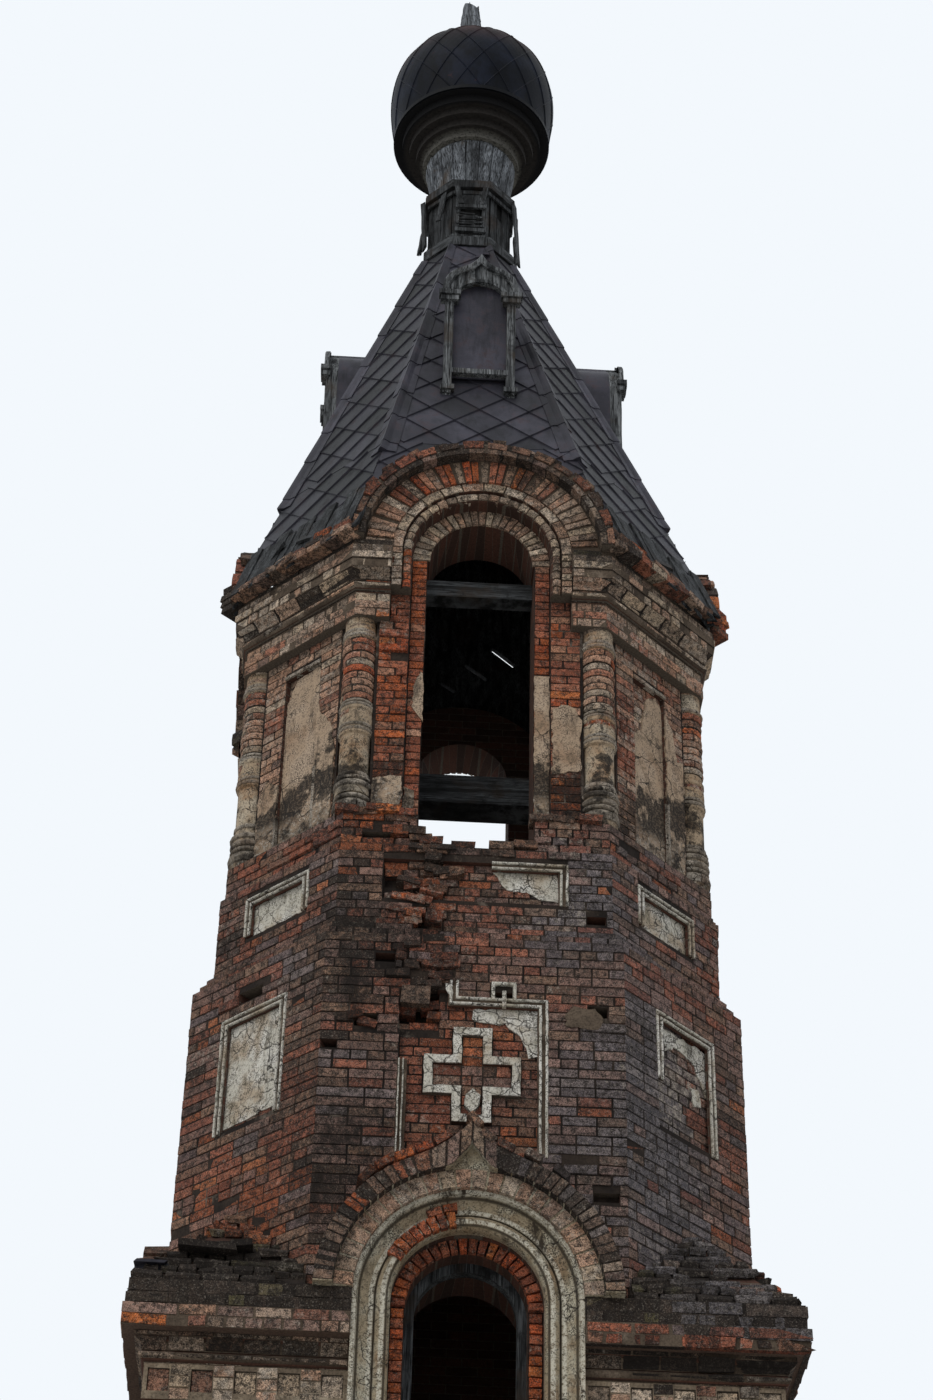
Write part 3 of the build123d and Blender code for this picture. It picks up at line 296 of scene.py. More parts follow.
# Lime plaster, floated smooth and then weathered: chalky white, cracked, stained by rain and algae
def makeLimePlaster(name, cracks, charred=None, beads=(), crazed=False):
    paint = Finish(name, 0.9)
    add, grain = paint.add, paint.grain
    x, y, z = add("SeparateXYZ", paint.place, out=None)
    clouds, fine, specks = grain(260, 6, 0.65), grain(26, 7, 0.74), grain(11, 3, 0.6)
    paint.start(clouds, 0.45, 0.62, "body", "white")
    paint.coat(grain(380, 5, 0.6), "peach", 0.52, 0.64, 0.85)
    if beads:
        paintBeadHighlightAndShade(paint, beads, x, y, z, fine)
    paint.coat(grain(190, 7, 0.7), "moss", 0.56, 0.66, 0.6)
    runs = add("MapRange", grain(150, 8, 0.76, (1, 1, 0.25)), 0.54, 0.66)
    heavy = add("MapRange", z, 9.7, 10.65, 0.1, 1.5) if beads else 0.8
    paint.coat(add("Math.MULTIPLY", runs, heavy), "stain")
    dirty = add("Math.MULTIPLY", add("MapRange", grain(130, 6, 0.7), 0.44, 0.60),
                add("MapRange", specks, 0.47, 0.55))
    paint.coat(add("Math.MULTIPLY", dirty, 0.9), "stain")
    paint.coat(fine, "stain", 0.52, 0.63, 0.8)
    paint.coat(specks, "stain", 0.56, 0.68, 0.6)
    if charred:
        paintSoot(paint, charred, z, fine)
    warp = add("VectorMath.MULTIPLY", add("TexNoise", paint.place, None, 9.0, out=1), (0.12, 0.12, 0.12))
    cells = add("TexVoronoi", add("VectorMath.ADD", paint.place, warp), named={"Scale": 1000 / cracks},
                feature="DISTANCE_TO_EDGE")
    line = add("MapRange", cells, 0.002, 0.040 if crazed else 0.018, 1.0, 0.0)
    where = add("MapRange", grain(520, 3), *((0.36, 0.5) if crazed else (0.46, 0.56)))
    crack = add("Math.MULTIPLY", line, where)
    paint.coat(crack, "#2b2723")
    height = add("Math.SUBTRACT", add("Math.ADD", fine, clouds), add("Math.MULTIPLY", crack, 0.6))
    return paint.finish(height, 0.7, 0.007)


# Sawn pine left to the weather: silver grey, ribbed along the grain, dark in its splits
def makePine(name, upright):
    paint = Finish(name + ("Upright" if upright else "Level"), 0.88, 0.2, name)
    add, grain = paint.add, paint.grain
    stretch = (1, 1, 0.05) if upright else (0.06, 0.06, 1.6)
    fibre, bands = grain(9, 5, 0.65, stretch), grain(60, 4, 0.6, stretch)
    paint.start(bands, 0.4, 0.62, "mid", "pale")
    paint.coat(fibre, "dark", 0.46, 0.6, 0.95)
    paint.coat(grain(350, 4), "brown", 0.55, 0.68, 0.7)
    paint.coat(grain(180, 6, 0.7), "dark", 0.54, 0.66, 0.7)
    shade = add("Attribute", out="Fac", attribute_name="shade")
    paint.coat(add("Math.MULTIPLY", shade, 0.85), "dark")
    return paint.finish(add("Math.ADD", fibre, add("Math.MULTIPLY", bands, 0.5)), 0.8, 0.006)


# Floor boards 180 mm wide, rained on for years: grey brown planks, dark in the joints
def makeFloorPine():
    paint = Finish("floorPine", 0.88, 0.2)
    add, grain = paint.add, paint.grain
    across = add("Math.DIVIDE", add("SeparateXYZ", paint.place, out=1), 0.18)
    edge = add("Math.ABSOLUTE", add("Math.SUBTRACT", add("Math.FRACT", across), 0.5))
    plank = add("TexWhiteNoise", named={"W": add("Math.FLOOR", across)}, noise_dimensions="1D")
    fibre = grain(22, 6, 0.65, (0.06, 1, 1))
    paint.body = linear(paint.colours["mid"])
    paint.coat(plank, "pale")
    paint.coat(fibre, "dark", 0.48, 0.62, 0.75)
    paint.coat(grain(420, 6, 0.65), "damp", 0.5, 0.64, 0.6)
    joint = add("MapRange", edge, 0.470, 0.485)
    paint.coat(joint, "joint")
    return paint.finish(add("Math.SUBTRACT", fibre, joint), 0.8, 0.005)


# Rings of boards under the dome: near black outside, bare and grey next to the drum
def makeSoffitPine():
    paint = Finish("soffitPine", 0.9)
    add = paint.add
    x, y, z = add("SeparateXYZ", paint.place, out=None)
    radius = add("VectorMath.LENGTH", add("CombineXYZ", add("Math.ADD", x, -lean), y), out=1)
    fibre = paint.grain(30, 6, 0.7)
    paint.start(radius, 0.50, 0.56, "pale", "mid")
    paint.coat(radius, "black", 0.70, 0.74)
    paint.coat(fibre, "dark", 0.48, 0.64, 0.8)
    return paint.finish(fibre, 0.7, 0.006)


# Painted sheet steel, rolled and folded at the seams: blue grey, half matt, rusting through in spots
def makeSheetSteel(name, shine, rustFrom=None):
    paint = Finish(name, 0.5, shine)
    add, grain = paint.add, paint.grain
    clouds = grain(420, 6, 0.65)
    paint.start(clouds, 0.42, 0.62, "body", "pale")
    paint.coat(grain(120, 6, 0.7, (1, 1, 0.2)), "dark", 0.5, 0.7, 0.7)
    rust = add("MapRange", grain(210, 8, 0.75), 0.62 if rustFrom else 0.53, 0.72, 0.0, 0.6)
    if rustFrom:   # more of it where rain ran down from the post
        level = add("MapRange", add("SeparateXYZ", paint.place, out=2), rustFrom - 0.45, rustFrom + 0.15)
        spots = add("MapRange", clouds, 0.38, 0.58, 0.2, 0.85)
        rust = add("Math.MAXIMUM", rust, add("Math.MULTIPLY", level, spots))
    paint.coat(rust, "rust")
    # the shade attribute darkens each piece: its own random tone, and on the tent's diagonal sides painted
    # shade
    shade = add("Attribute", out="Fac", attribute_name="shade")
    paint.coat(add("Math.MULTIPLY", shade, 0.8), "dark")
    paint.tree.links.new(add("MapRange", rust, 0, 1, 0.5, 0.85), paint.shader["Roughness"])
    return paint.finish(add("Math.ADD", clouds, grain(12, 3)), 0.35, 0.004)


firedClay = makeFiredClay()
soffitPine = makeSoffitPine()
floorPine = makeFloorPine()
washedMortar, limeMortar, paleMortar = (makeLimeMortar(name)
                                        for name in ("washedMortar", "limeMortar", "paleMortar"))
limePlaster = makeLimePlaster("limePlaster", 300, beads=((0.602, 0.022), (0.682, 0.020), (0.800, 0.024)))
bellPlaster = makeLimePlaster("bellPlaster", 420, charred=14.90)
columnWash = makeLimePlaster("columnWash", 240, charred=14.84)
columnRing = makeLimePlaster("columnRing", 300, charred=14.62)
panelPlaster = makeLimePlaster("panelPlaster", 150, crazed=True)
greyUpright, greyLevel = makePine("greyPine", True), makePine("greyPine", False)
darkUpright, darkLevel = makePine("darkPine", True), makePine("darkPine", False)
# the lantern's boards take the nearly black pine as painted shade of open bays
lanternShadeUpright, dormerUpright = makePine("lanternShadePine", True), makePine("dormerPine", True)
roofSteel = makeSheetSteel("roofSteel", 0.12)
domeSteel = makeSheetSteel("domeSteel", 0.06, 25.7)

slotFinish = {"brick_dark": limeMortar, "brick_red": limeMortar, "brick_pale": limeMortar,
              "plaster": limePlaster, "timber": greyLevel, "roof_sheet": roofSteel, "dome_sheet": domeSteel}
nodeFinish = {"square_frieze": paleMortar, "square_cornice": washedMortar, "bell_cornice": washedMortar,
              "bell_arch_front": washedMortar, "bell_arch_back": washedMortar,
              "bell_arches_sides": washedMortar, "lantern_posts": darkUpright, "dome_drum": greyUpright,
              "dormer_frames": dormerUpright, "cross_post": greyUpright, "lantern_boards": lanternShadeUpright,
              "lantern_ledges": darkLevel, "bell_beams": darkLevel, "hip_rafters": darkUpright,
              "bell_columns": columnWash, "dome_soffit": soffitPine, "tent_panels_cardinal": darkUpright,
              "tent_panels_diagonal": darkUpright, "window_frames": darkUpright, "timber_floors": floorPine}
for entry in frame["record"]["subparts"]:
    name = entry["node"]
    materials = frame["nodes"][name].data.materials
    materials.clear()
    materials.append(nodeFinish.get(name, slotFinish[entry["material_slot"]]))
print("materials")

# Small solids gathered into one piece
class Heap:
    def __init__(self, seed):
        self.points, self.faces, self.tints, self.wear = [], [], [], []
        self.dice = random.Random(seed)

    def add(self, points, faces, tint=(0.2, 0.2, 0.2, 1.0), lime=0.0, soot=0.0):
        first = len(self.points)
        self.points += points
        self.faces += [[first + i for i in face] for face in faces]
        self.tints += list(tint) * len(points)
        self.wear += [(lime, soot)] * len(points)

    def make(self, name, material, slot, replaces=()):
        mesh = bpy.data.meshes.new(name)
        mesh.from_pydata(self.points, [], self.faces)
        mesh.attributes.new("tint", "FLOAT_COLOR", "POINT").data.foreach_set("color", self.tints)
        for key, column in (("lime", 0), ("soot", 1), ("shade", 1)):
            values = [wear[column] for wear in self.wear]
            mesh.attributes.new(key, "FLOAT", "POINT").data.foreach_set("value", values)
        mesh.materials.append(material)
        piece = addObject(name, mesh)
        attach(piece, "root")
        if replaces:
            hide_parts(*replaces)
        print(name, len(self.faces), "faces")


# Quads between rows of points: loop joins the last row to the first, tube each row's last point to its first
def skin(rows, width, loop=False, tube=False):
    steps = [(i, (i + 1) % rows) for i in range(rows if loop else rows - 1)]
    return [(i * width + k, j * width + k, j * width + (k + 1) % width, i * width + (k + 1) % width)
            for i, j in steps for k in range(width if tube else width - 1)]


def pairs(points):   # each point with the next, and the last with the first
    return list(zip(points, points[1:] + points[:1]))


def between(side, a, b):   # the stretch from a to b on one side of the middle, low end first
    return sorted((side * a, side * b))


def compass(turn):   # a face's outward and rightward directions; turn in degrees from the front
    a = math.radians(turn)
    return Vector((math.sin(a), -math.cos(a), 0)), Vector((math.cos(a), math.sin(a), 0))


# The octagon's cardinal faces are wider than the diagonal ones
def faceHalf(half):
    return half * slope22 + 0.24


# A wall's face: half is half the tower's width there, bevel how much a face grows with each metre outward
def wallFace(turn, half, squared=False):
    out, along = compass(turn)
    if squared:
        reach, length, bevel = half, half, 1.0
    elif turn % 90:
        reach, length, bevel = (half + faceHalf(half)) / root2, (half - faceHalf(half)) / root2, slope22
    else:
        reach, length, bevel = half, faceHalf(half), slope22
    return {"out": out, "along": along, "reach": reach, "length": length, "bevel": bevel}


def spot(face, x, out, z):
    return face["along"] * x + face["out"] * (face["reach"] + out) + Vector((0, 0, z))


# Colours of single bricks
brickKinds = {
    "blue": ("#5c5b5e", "#525154", "#656364", "#58575a", "#6a6766"),
    "purple": ("#6f5c55", "#79645b", "#64544e", "#7e685e", "#736059"),
    "brown": ("#6c594b", "#615043", "#75614f", "#5a4b3f"),
    "red": ("#7d4a38", "#8a523d", "#714131", "#8c5944", "#784738"),
    "orange": ("#8a5236", "#80492f", "#935c3d", "#784630"),
    "bright": ("#9f5630", "#96502e", "#aa6438", "#8a4a2b", "#9b4c2c"),
    "pink": ("#98775f", "#a0806a", "#8b6b57", "#a78c76"),
    "pale": ("#aa9d89", "#b3a693", "#9c8f7b", "#a6967f"),
    "wash": ("#86786a", "#8e8070", "#7b6e5e", "#968877"),
    "moss": ("#46432f", "#3c3a2a", "#534d3b", "#343127"),
    "char": ("#2c2722", "#332d27", "#25201c", "#3a332d"),
}
brickTints = {kind: [linear(c) for c in colours] for kind, colours in brickKinds.items()}
kindMeans = {kind: [sum(tint[c] for tint in tints) / len(tints) for c in range(3)]
             for kind, tints in brickTints.items()}

# Base mixes of each storey
mixes = {
    "square": {"purple": 0.30, "brown": 0.30, "red": 0.24, "orange": 0.12, "blue": 0.04},
    "tier": {"purple": 0.42, "brown": 0.28, "blue": 0.09, "red": 0.17, "orange": 0.04},
    "tierRight": {"purple": 0.34, "red": 0.10, "brown": 0.24, "blue": 0.28, "orange": 0.04},
    "tierLeft": {"brown": 0.38, "purple": 0.28, "blue": 0.08, "red": 0.21, "orange": 0.05},
    "joint": {"char": 1.0},
    "bell": {"pink": 0.52, "wash": 0.24, "red": 0.14, "purple": 0.06, "pale": 0.04},
    "shaft": {"pink": 0.52, "red": 0.17, "bright": 0.07, "pale": 0.24},
    "cell": {"pale": 0.62, "wash": 0.16, "red": 0.22},
    "bellFlat": {"red": 0.44, "pink": 0.26, "bright": 0.20, "brown": 0.10},
    "panelFlat": {"red": 0.34, "brown": 0.30, "orange": 0.10, "purple": 0.26},
    "jamb": {"bright": 0.44, "red": 0.46, "pink": 0.10},
    "header": {"pale": 0.34, "wash": 0.34, "pink": 0.32},
    "ring": {"bright": 0.62, "red": 0.38},
    "label": {"char": 0.24, "brown": 0.44, "purple": 0.22, "wash": 0.10},
    "band": {"pink": 0.44, "wash": 0.26, "pale": 0.26, "purple": 0.04},
    "corona": {"pink": 0.18, "wash": 0.34, "red": 0.12, "purple": 0.36},
    "frieze": {"pink": 0.40, "wash": 0.14, "red": 0.10, "pale": 0.36},
    "dull": {"wash": 0.74, "brown": 0.16, "pink": 0.10},
    "ledge": {"pale": 0.48, "wash": 0.24, "pink": 0.22, "char": 0.06},
    "mossy": {"moss": 0.20, "char": 0.76, "brown": 0.04},
    "rubble": {"brown": 0.32, "char": 0.24, "red": 0.32, "bright": 0.04, "pink": 0.08},
    "pairs": {"bright": 0.40, "red": 0.35, "pink": 0.25},
}

# Patches of another colour: turn of the face, x, z, half width, half height, kind, strength
patches = [
    (0, -0.45, 13.60, 0.55, 0.40, "orange", 0.5), (0, -0.30, 13.35, 0.45, 0.35, "red", 0.8),
    (0, -0.10, 12.85, 0.55, 0.22, "red", 0.9), (0, -0.86, 12.45, 0.40, 0.45, "red", 0.7),
    (0, -0.95, 12.55, 0.50, 0.75, "brown", 0.6), (0, -0.70, 13.98, 0.55, 0.20, "orange", 1.0),
    (0, 0.80, 13.40, 0.45, 0.75, "blue", 1.8), (0, 0.95, 11.40, 0.45, 1.10, "blue", 2.6),
    (0, 0.60, 11.00, 0.40, 0.35, "blue", 1.0), (0, -0.95, 11.00, 0.35, 0.80, "char", 1.0),
    (0, 0.0, 12.15, 0.50, 0.25, "orange", 0.9), (0, -0.30, 11.45, 0.40, 0.30, "red", 0.8),
    (0, -0.60, 10.90, 0.45, 0.30, "orange", 0.5), (0, 0.70, 12.20, 0.35, 0.45, "purple", 0.6),
    (-45, 0.0, 10.85, 0.80, 0.55, "orange", 1.5), (-45, -0.40, 11.35, 0.40, 0.50, "red", 1.0),
    (-45, 0.50, 11.20, 0.30, 0.80, "red", 0.8), (-45, -0.10, 12.75, 0.80, 0.30, "blue", 1.0),
    (-45, -0.50, 13.35, 0.35, 0.35, "char", 0.7), (-45, 0.25, 13.25, 0.50, 0.30, "red", 0.6),
    (45, -0.40, 11.20, 0.60, 1.60, "blue", 2.2), (45, 0.10, 12.85, 0.60, 0.35, "red", 0.5),
    (45, 0.30, 11.40, 0.50, 0.60, "red", 0.4), (45, 0.55, 10.75, 0.35, 0.30, "orange", 0.5),
    (45, 0.50, 13.40, 0.30, 0.40, "red", 0.8), (90, -0.70, 11.60, 0.50, 0.90, "red", 0.7),
    (90, 0.50, 13.20, 0.60, 0.50, "blue", 0.9), (180, 0.20, 13.30, 0.70, 0.40, "orange", 0.6),
    (180, -0.80, 11.30, 0.50, 0.80, "blue", 1.1), (135, 0.0, 11.00, 0.70, 0.50, "orange", 0.8),
    (225, -0.20, 12.60, 0.50, 0.50, "blue", 1.0), (270, 0.60, 11.20, 0.60, 0.70, "red", 0.8),
    (270, -0.40, 13.40, 0.60, 0.40, "orange", 0.5), (0, -0.75, 15.60, 0.16, 0.95, "bright", 1.6),
    (0, -0.75, 14.30, 0.50, 0.22, "bright", 1.2), (0, 0.72, 14.55, 0.30, 0.16, "bright", 1.5),
    (0, 0.74, 16.00, 0.14, 0.30, "red", 1.6), (-45, -0.34, 15.75, 0.12, 0.25, "red", 1.5),
    (45, -0.34, 15.40, 0.12, 0.60, "red", 1.4), (-45, 0.0, 14.10, 0.7, 0.14, "red", 0.8),
    # the two char patches at height 9.52 are painted shade under the square's corona, not soot
    (0, 1.55, 9.52, 1.10, 0.20, "char", 1.4), (0, -1.55, 9.52, 0.9, 0.10, "char", 0.5),
    (0, -2.20, 9.65, 0.22, 0.05, "bright", 3.0), (0, -0.23, 10.88, 0.24, 0.06, "bright", 4.0),
    (0, -0.85, 12.75, 0.35, 1.25, "char", 0.8), (-45, 0.70, 12.90, 0.38, 1.20, "char", 0.7),
    (-45, -0.75, 12.35, 0.35, 0.80, "char", 0.6), (0, -0.45, 13.85, 0.60, 0.20, "char", 0.7),
    (0, -0.80, 10.59, 0.08, 0.08, "bright", 3.0), (0, -0.25, 10.51, 0.10, 0.08, "bright", 3.0),
    (0, 1.60, 9.65, 0.80, 0.05, "red", 2.0),
]

# Where the face has fallen away or been knocked about: turn, x, z, half width, half height, strength
ruins = [
    (0, -0.72, 14.05, 0.55, 0.24, 1.0), (0, -0.45, 13.62, 0.30, 0.36, 1.0),
    (0, -0.42, 13.25, 0.24, 0.36, 0.9), (0, -0.40, 12.75, 0.34, 0.30, 0.9),
    (0, -0.62, 12.30, 0.45, 0.22, 0.8), (0, 0.30, 14.0, 0.9, 0.14, 0.7), (0, 0.92, 12.32, 0.22, 0.20, 0.6),
    (-45, 0.35, 14.08, 0.5, 0.16, 0.9), (-45, 0.0, 12.72, 0.4, 0.14, 0.5), (45, -0.1, 14.1, 0.6, 0.12, 0.5),
    (0, -0.78, 16.2, 0.14, 0.34, 0.6), (0, -0.66, 15.6, 0.05, 0.9, 0.7), (0, 0.95, 10.9, 0.3, 0.3, 0.5),
    (90, -0.5, 13.9, 0.7, 0.3, 0.9), (180, 0.4, 13.9, 0.8, 0.3, 0.8), (270, 0.2, 13.2, 0.4, 0.6, 0.8),
    (180, -0.8, 12.3, 0.3, 0.4, 0.7), (225, 0.1, 12.7, 0.5, 0.2, 0.6), (0, -1.95, 9.5, 0.35, 0.3, 0.5),
    (0, 1.95, 9.6, 0.35, 0.3, 0.9),
]
areaFaces = {turn: wallFace(turn, 2.0) for turn in cardinals + diagonals}


def nearness(point, turn, x, z, wide, high):   # 1 in an area's middle, 0 at its rim, None outside its box
    face = areaFaces[turn]
    along = point.dot(face["along"]) - x
    if abs(point.z - z) < high and abs(along) < wide and point.dot(face["out"]) > 1.45:
        return max(0, 1 - (along / wide) ** 2 - ((point.z - z) / high) ** 2)


def ruinAt(point):
    nears = [(nearness(point, *area), strength) for *area, strength in ruins]
    return max([0] + [strength * min(1, 2 * near) for near, strength in nears if near])


def brickLook(dice, point, mix, lime=0.0, soot=0.0):
    weights = dict(mixes[mix])
    for *area, kind, strength in patches:
        near = nearness(point, *area)
        if near is None:
            continue
        near *= strength
        if kind == "char":   # soot, and the painted shade under the square's corona, lie over bricks of every colour
            soot += 0.5 * near
            near *= 0.35
        weights[kind] = weights.get(kind, 0) + near
    lumpA = noise.noise(point * 1.1)
    lumpB = noise.noise(point * 0.8 + Vector((9, 4, 2)))
    weights["red"] = weights.get("red", 0) * (0.7 + 4 * max(0, lumpA))
    weights["blue"] = weights.get("blue", 0) * (0.5 + 5 * max(0, lumpB))
    kind = dice.choices(list(weights), list(weights.values()))[0]
    tint = dice.choice(brickTints[kind])
    whole = sum(weights.values())
    mean = [sum(share * kindMeans[name][c] for name, share in weights.items()) / whole for c in range(3)]
    keep = 0.9 if kind in ("bright", "pale", "char", "moss", "orange") else 0.62
    shade = dice.uniform(0.72, 1.24)
    limeHere = lime + 0.35 * noise.noise(point * 2.3 + Vector((3, 1, 7))) + dice.uniform(-0.08, 0.08)
    sootHere = soot + 0.5 * noise.noise(point * 1.7 + Vector((5, 8, 1))) + dice.uniform(-0.15, 0.15)
    if lime and bell["base"] + 0.01 < point.z < bell["sootTop"] + 0.5 * noise.noise(point * 1.9):
        sootHere += 0.55
    colour = tuple((m + (t - m) * keep) * shade for m, t in zip(mean, tint))
    return colour + (1.0,), max(0, limeHere), max(0, sootHere), kind


# Lays a run of bricks. place(t, s, out) gives a point: t along the run, s from 0 to 1 across it.
# section lists the (s, out) points of the brick's outline, first and last of them behind the face.
def layRun(heap, place, stops, section, mix, joint=0.011, parts=1, lime=0.0, soot=0.0, rough=0.003, loose=0.0,
           ease=0.0025, rag=0.004):
    dice = heap.dice
    count = len(section)
    scale = joint / 0.011
    high = max(0.03, (place(stops[0], 1.0, 0.0) - place(stops[0], 0.0, 0.0)).length)
    for t0, t1 in zip(stops, stops[1:]):
        middle = place((t0 + t1) / 2, 0.5, section[count // 2][1])
        tint, limeHere, sootHere, kind = brickLook(dice, middle, mix, lime, soot)
        ruin = ruinAt(middle)
        if dice.random() < loose + 0.07 * ruin:
            continue
        push = dice.uniform(-rough, rough) - (0.005 if kind == "orange" and mix.startswith("tier") else 0)
        push += ruin * dice.uniform(-0.004, 0.030)
        leaning = dice.uniform(-rough, rough) * (1 + 4 * ruin)
        sootHere += ruin * dice.uniform(-0.1, 0.5)
        a, b = t0 + joint * dice.uniform(0.35, 0.65), t1 - joint * dice.uniform(0.35, 0.65)
        slip = rag * (1 + 2 * ruin)
        points = []
        for k in range(parts + 1):
            share = k / parts
            for i, (s, out) in enumerate(section):
                t = a + (b - a) * share
                if 0 < i < count - 1:
                    t += (ease if k == 0 else -ease if k == parts else 0) * scale
                    out = out + push + leaning * (share - 0.5)
                    if k in (0, parts):
                        t += dice.uniform(-slip, slip * 0.6) * scale * (1 if k else -1)
                        s = s + dice.uniform(-slip, slip) / high
                        out -= dice.uniform(0, 0.0025)
                points.append(place(t, s, out))
        ends = [tuple(range(count)), tuple(reversed(range(parts * count, len(points))))]
        heap.add(points, skin(parts + 1, count) + ends, tint, limeHere, sootHere)


# Joint places of one course between two ends
def bondStops(x0, x1, pitch, shift):
    first = math.ceil((x0 + pitch * 0.35 - shift) / pitch)
    last = math.floor((x1 - pitch * 0.35 - shift) / pitch)
    return [x0] + [shift + pitch * k for k in range(first, last + 1)] + [x1]


def evenStops(a, b, count):
    return [a + (b - a) * k / count for k in range(count + 1)]


def freeRuns(x0, x1, gaps):   # what is left of a course between its openings
    runs = [(x0, x1)]
    for low, high in gaps:
        left = []
        for start, end in runs:
            clear = high <= start or low >= end
            left += [(start, end)] if clear else [(start, low), (high, end)]
        runs = [(start, end) for start, end in left if end - start > 0.035]
    return runs


def boxGap(x0, x1, z0, z1):
    return lambda low, high: (x0, x1) if low < z1 - 0.01 and high > z0 + 0.01 else None


def panelGap(panel):
    return boxGap(-panel["half"], panel["half"], panel["bottom"], panel["top"])


def roundGap(radius, centre):   # the widest part of an arch's outer line that the course meets
    def gap(low, high):
        near = 0 if low <= centre else low - centre
        if high <= centre or near >= radius:
            return None
        half = math.sqrt(radius ** 2 - near ** 2)
        return (-half, half)
    return gap


bond = {"stretcher": 0.264, "header": 0.132, "course": 0.08, "bed": 0.009}


def layWall(heap, face, x0, x1, z0, z1, mix, gaps=(), base=0.0, proud=0.008, cornered=(False, False),
            lime=0.0, soot=0.0, loose=0.0):
    count = max(1, round((z1 - z0) / bond["course"]))
    high = (z1 - z0) / count
    section = [(0.0, -0.006), (0.03, proud), (0.97, proud), (1.0, -0.006)]
    bed = bond["bed"] / 2
    for k in range(count):
        low = z0 + k * high
        number = round(low / bond["course"])
        pitch = bond["header"] if number % 2 else bond["stretcher"]
        shift = (0.066 if number % 2 else 0.132 * (number // 2 % 2)) + 0.02 * math.sin(number * 1.7)
        if heap.dice.random() < 0.15:
            pitch = bond["stretcher"] + bond["header"] - pitch

        def place(t, s, out):
            grown = max(0, out) * face["bevel"] + base * face["bevel"]
            if cornered[0] and t < x0 + 0.012:
                t = x0 - grown
            if cornered[1] and t > x1 - 0.012:
                t = x1 + grown
            return spot(face, t, out + base, low + bed + s * (high - 2 * bed))
        closed = [g for g in (gap(low, low + high) for gap in gaps) if g]
        for start, end in freeRuns(x0, x1, closed):
            layRun(heap, place, bondStops(start, end, pitch, shift), section, mix, lime=lime, soot=soot,
                   loose=loose)


def layPanel(heap, face, panel, mix, gaps=(), lime=0.0):
    layWall(heap, face, -panel["half"], panel["half"], panel["bottom"], panel["top"], mix, gaps,
            -panel["sunk"], lime=lime)


def arcPlace(face, centre, r0, r1):
    def place(t, s, out):
        r = r0 + (r1 - r0) * s
        return spot(face, r * math.cos(t), out, centre + r * math.sin(t))
    return place


def layArch(heap, face, centre, r0, r1, base, front, count, mix, a=0.0, b=math.pi, **looks):
    profile = [(0.0, base), (0.02, front), (0.98, front), (1.0, base)]
    layRun(heap, arcPlace(face, centre, r0, r1), evenStops(a, b, count), profile, mix,
           joint=0.010 / ((r0 + r1) / 2), **looks)


plainRun = {"joint": 0.0, "rough": 0.0, "ease": 0.0, "rag": 0.0}   # a bed without joints


def looseBrick(heap, face, x, out, z, turn, tilt, mix, size, soot):
    dice = heap.dice
    centre = spot(face, x, out, z)
    tint, lime, sootHere, kind = brickLook(dice, centre, mix, 0.0, soot)
    turned = Matrix.Rotation(math.atan2(face["out"].x, -face["out"].y), 3, "Z")
    turned = turned @ Matrix.Rotation(turn, 3, "Y") @ Matrix.Rotation(tilt, 3, "X")
    points = []
    for sz in (-1, 1):
        for sx, sy in ((-1, -1), (1, -1), (1, 1), (-1, 1)):
            corner = Vector((sx * size[0] / 2, sy * size[1] / 2, sz * size[2] / 2))
            points.append(centre + turned @ (corner * (1 + dice.uniform(-0.06, 0.04))))
    heap.add(points, [(0, 3, 2, 1), (4, 5, 6, 7), (0, 1, 5, 4), (1, 2, 6, 5), (2, 3, 7, 6), (3, 0, 4, 7)],
             tint, lime, sootHere)


# Square storeys in brick
square = {"half": 2.2, "plinth": 2.28, "plinthTop": 0.6, "plinthBevel": 0.04, "lowerTop": 5.0,
          "upperFrom": 5.24, "frieze": 9.14, "cornice": 9.40, "corniceTop": 9.96, "doorHalf": 0.6,
          "doorSpring": 2.3, "doorRing": 0.86, "windowHalf": 0.44, "windowSill": 7.3, "rebate": 0.545,
          "archivolt": 0.82, "band": 0.96, "label": 1.10, "bandFront": 0.20, "labelFront": 0.27,
          "cells": (2.125, 1.825, 1.525, 1.225, 0.925), "cellLow": 9.20, "cellTop": 9.366,
          "cellBrick": (0.142, 0.10, 0.158)}


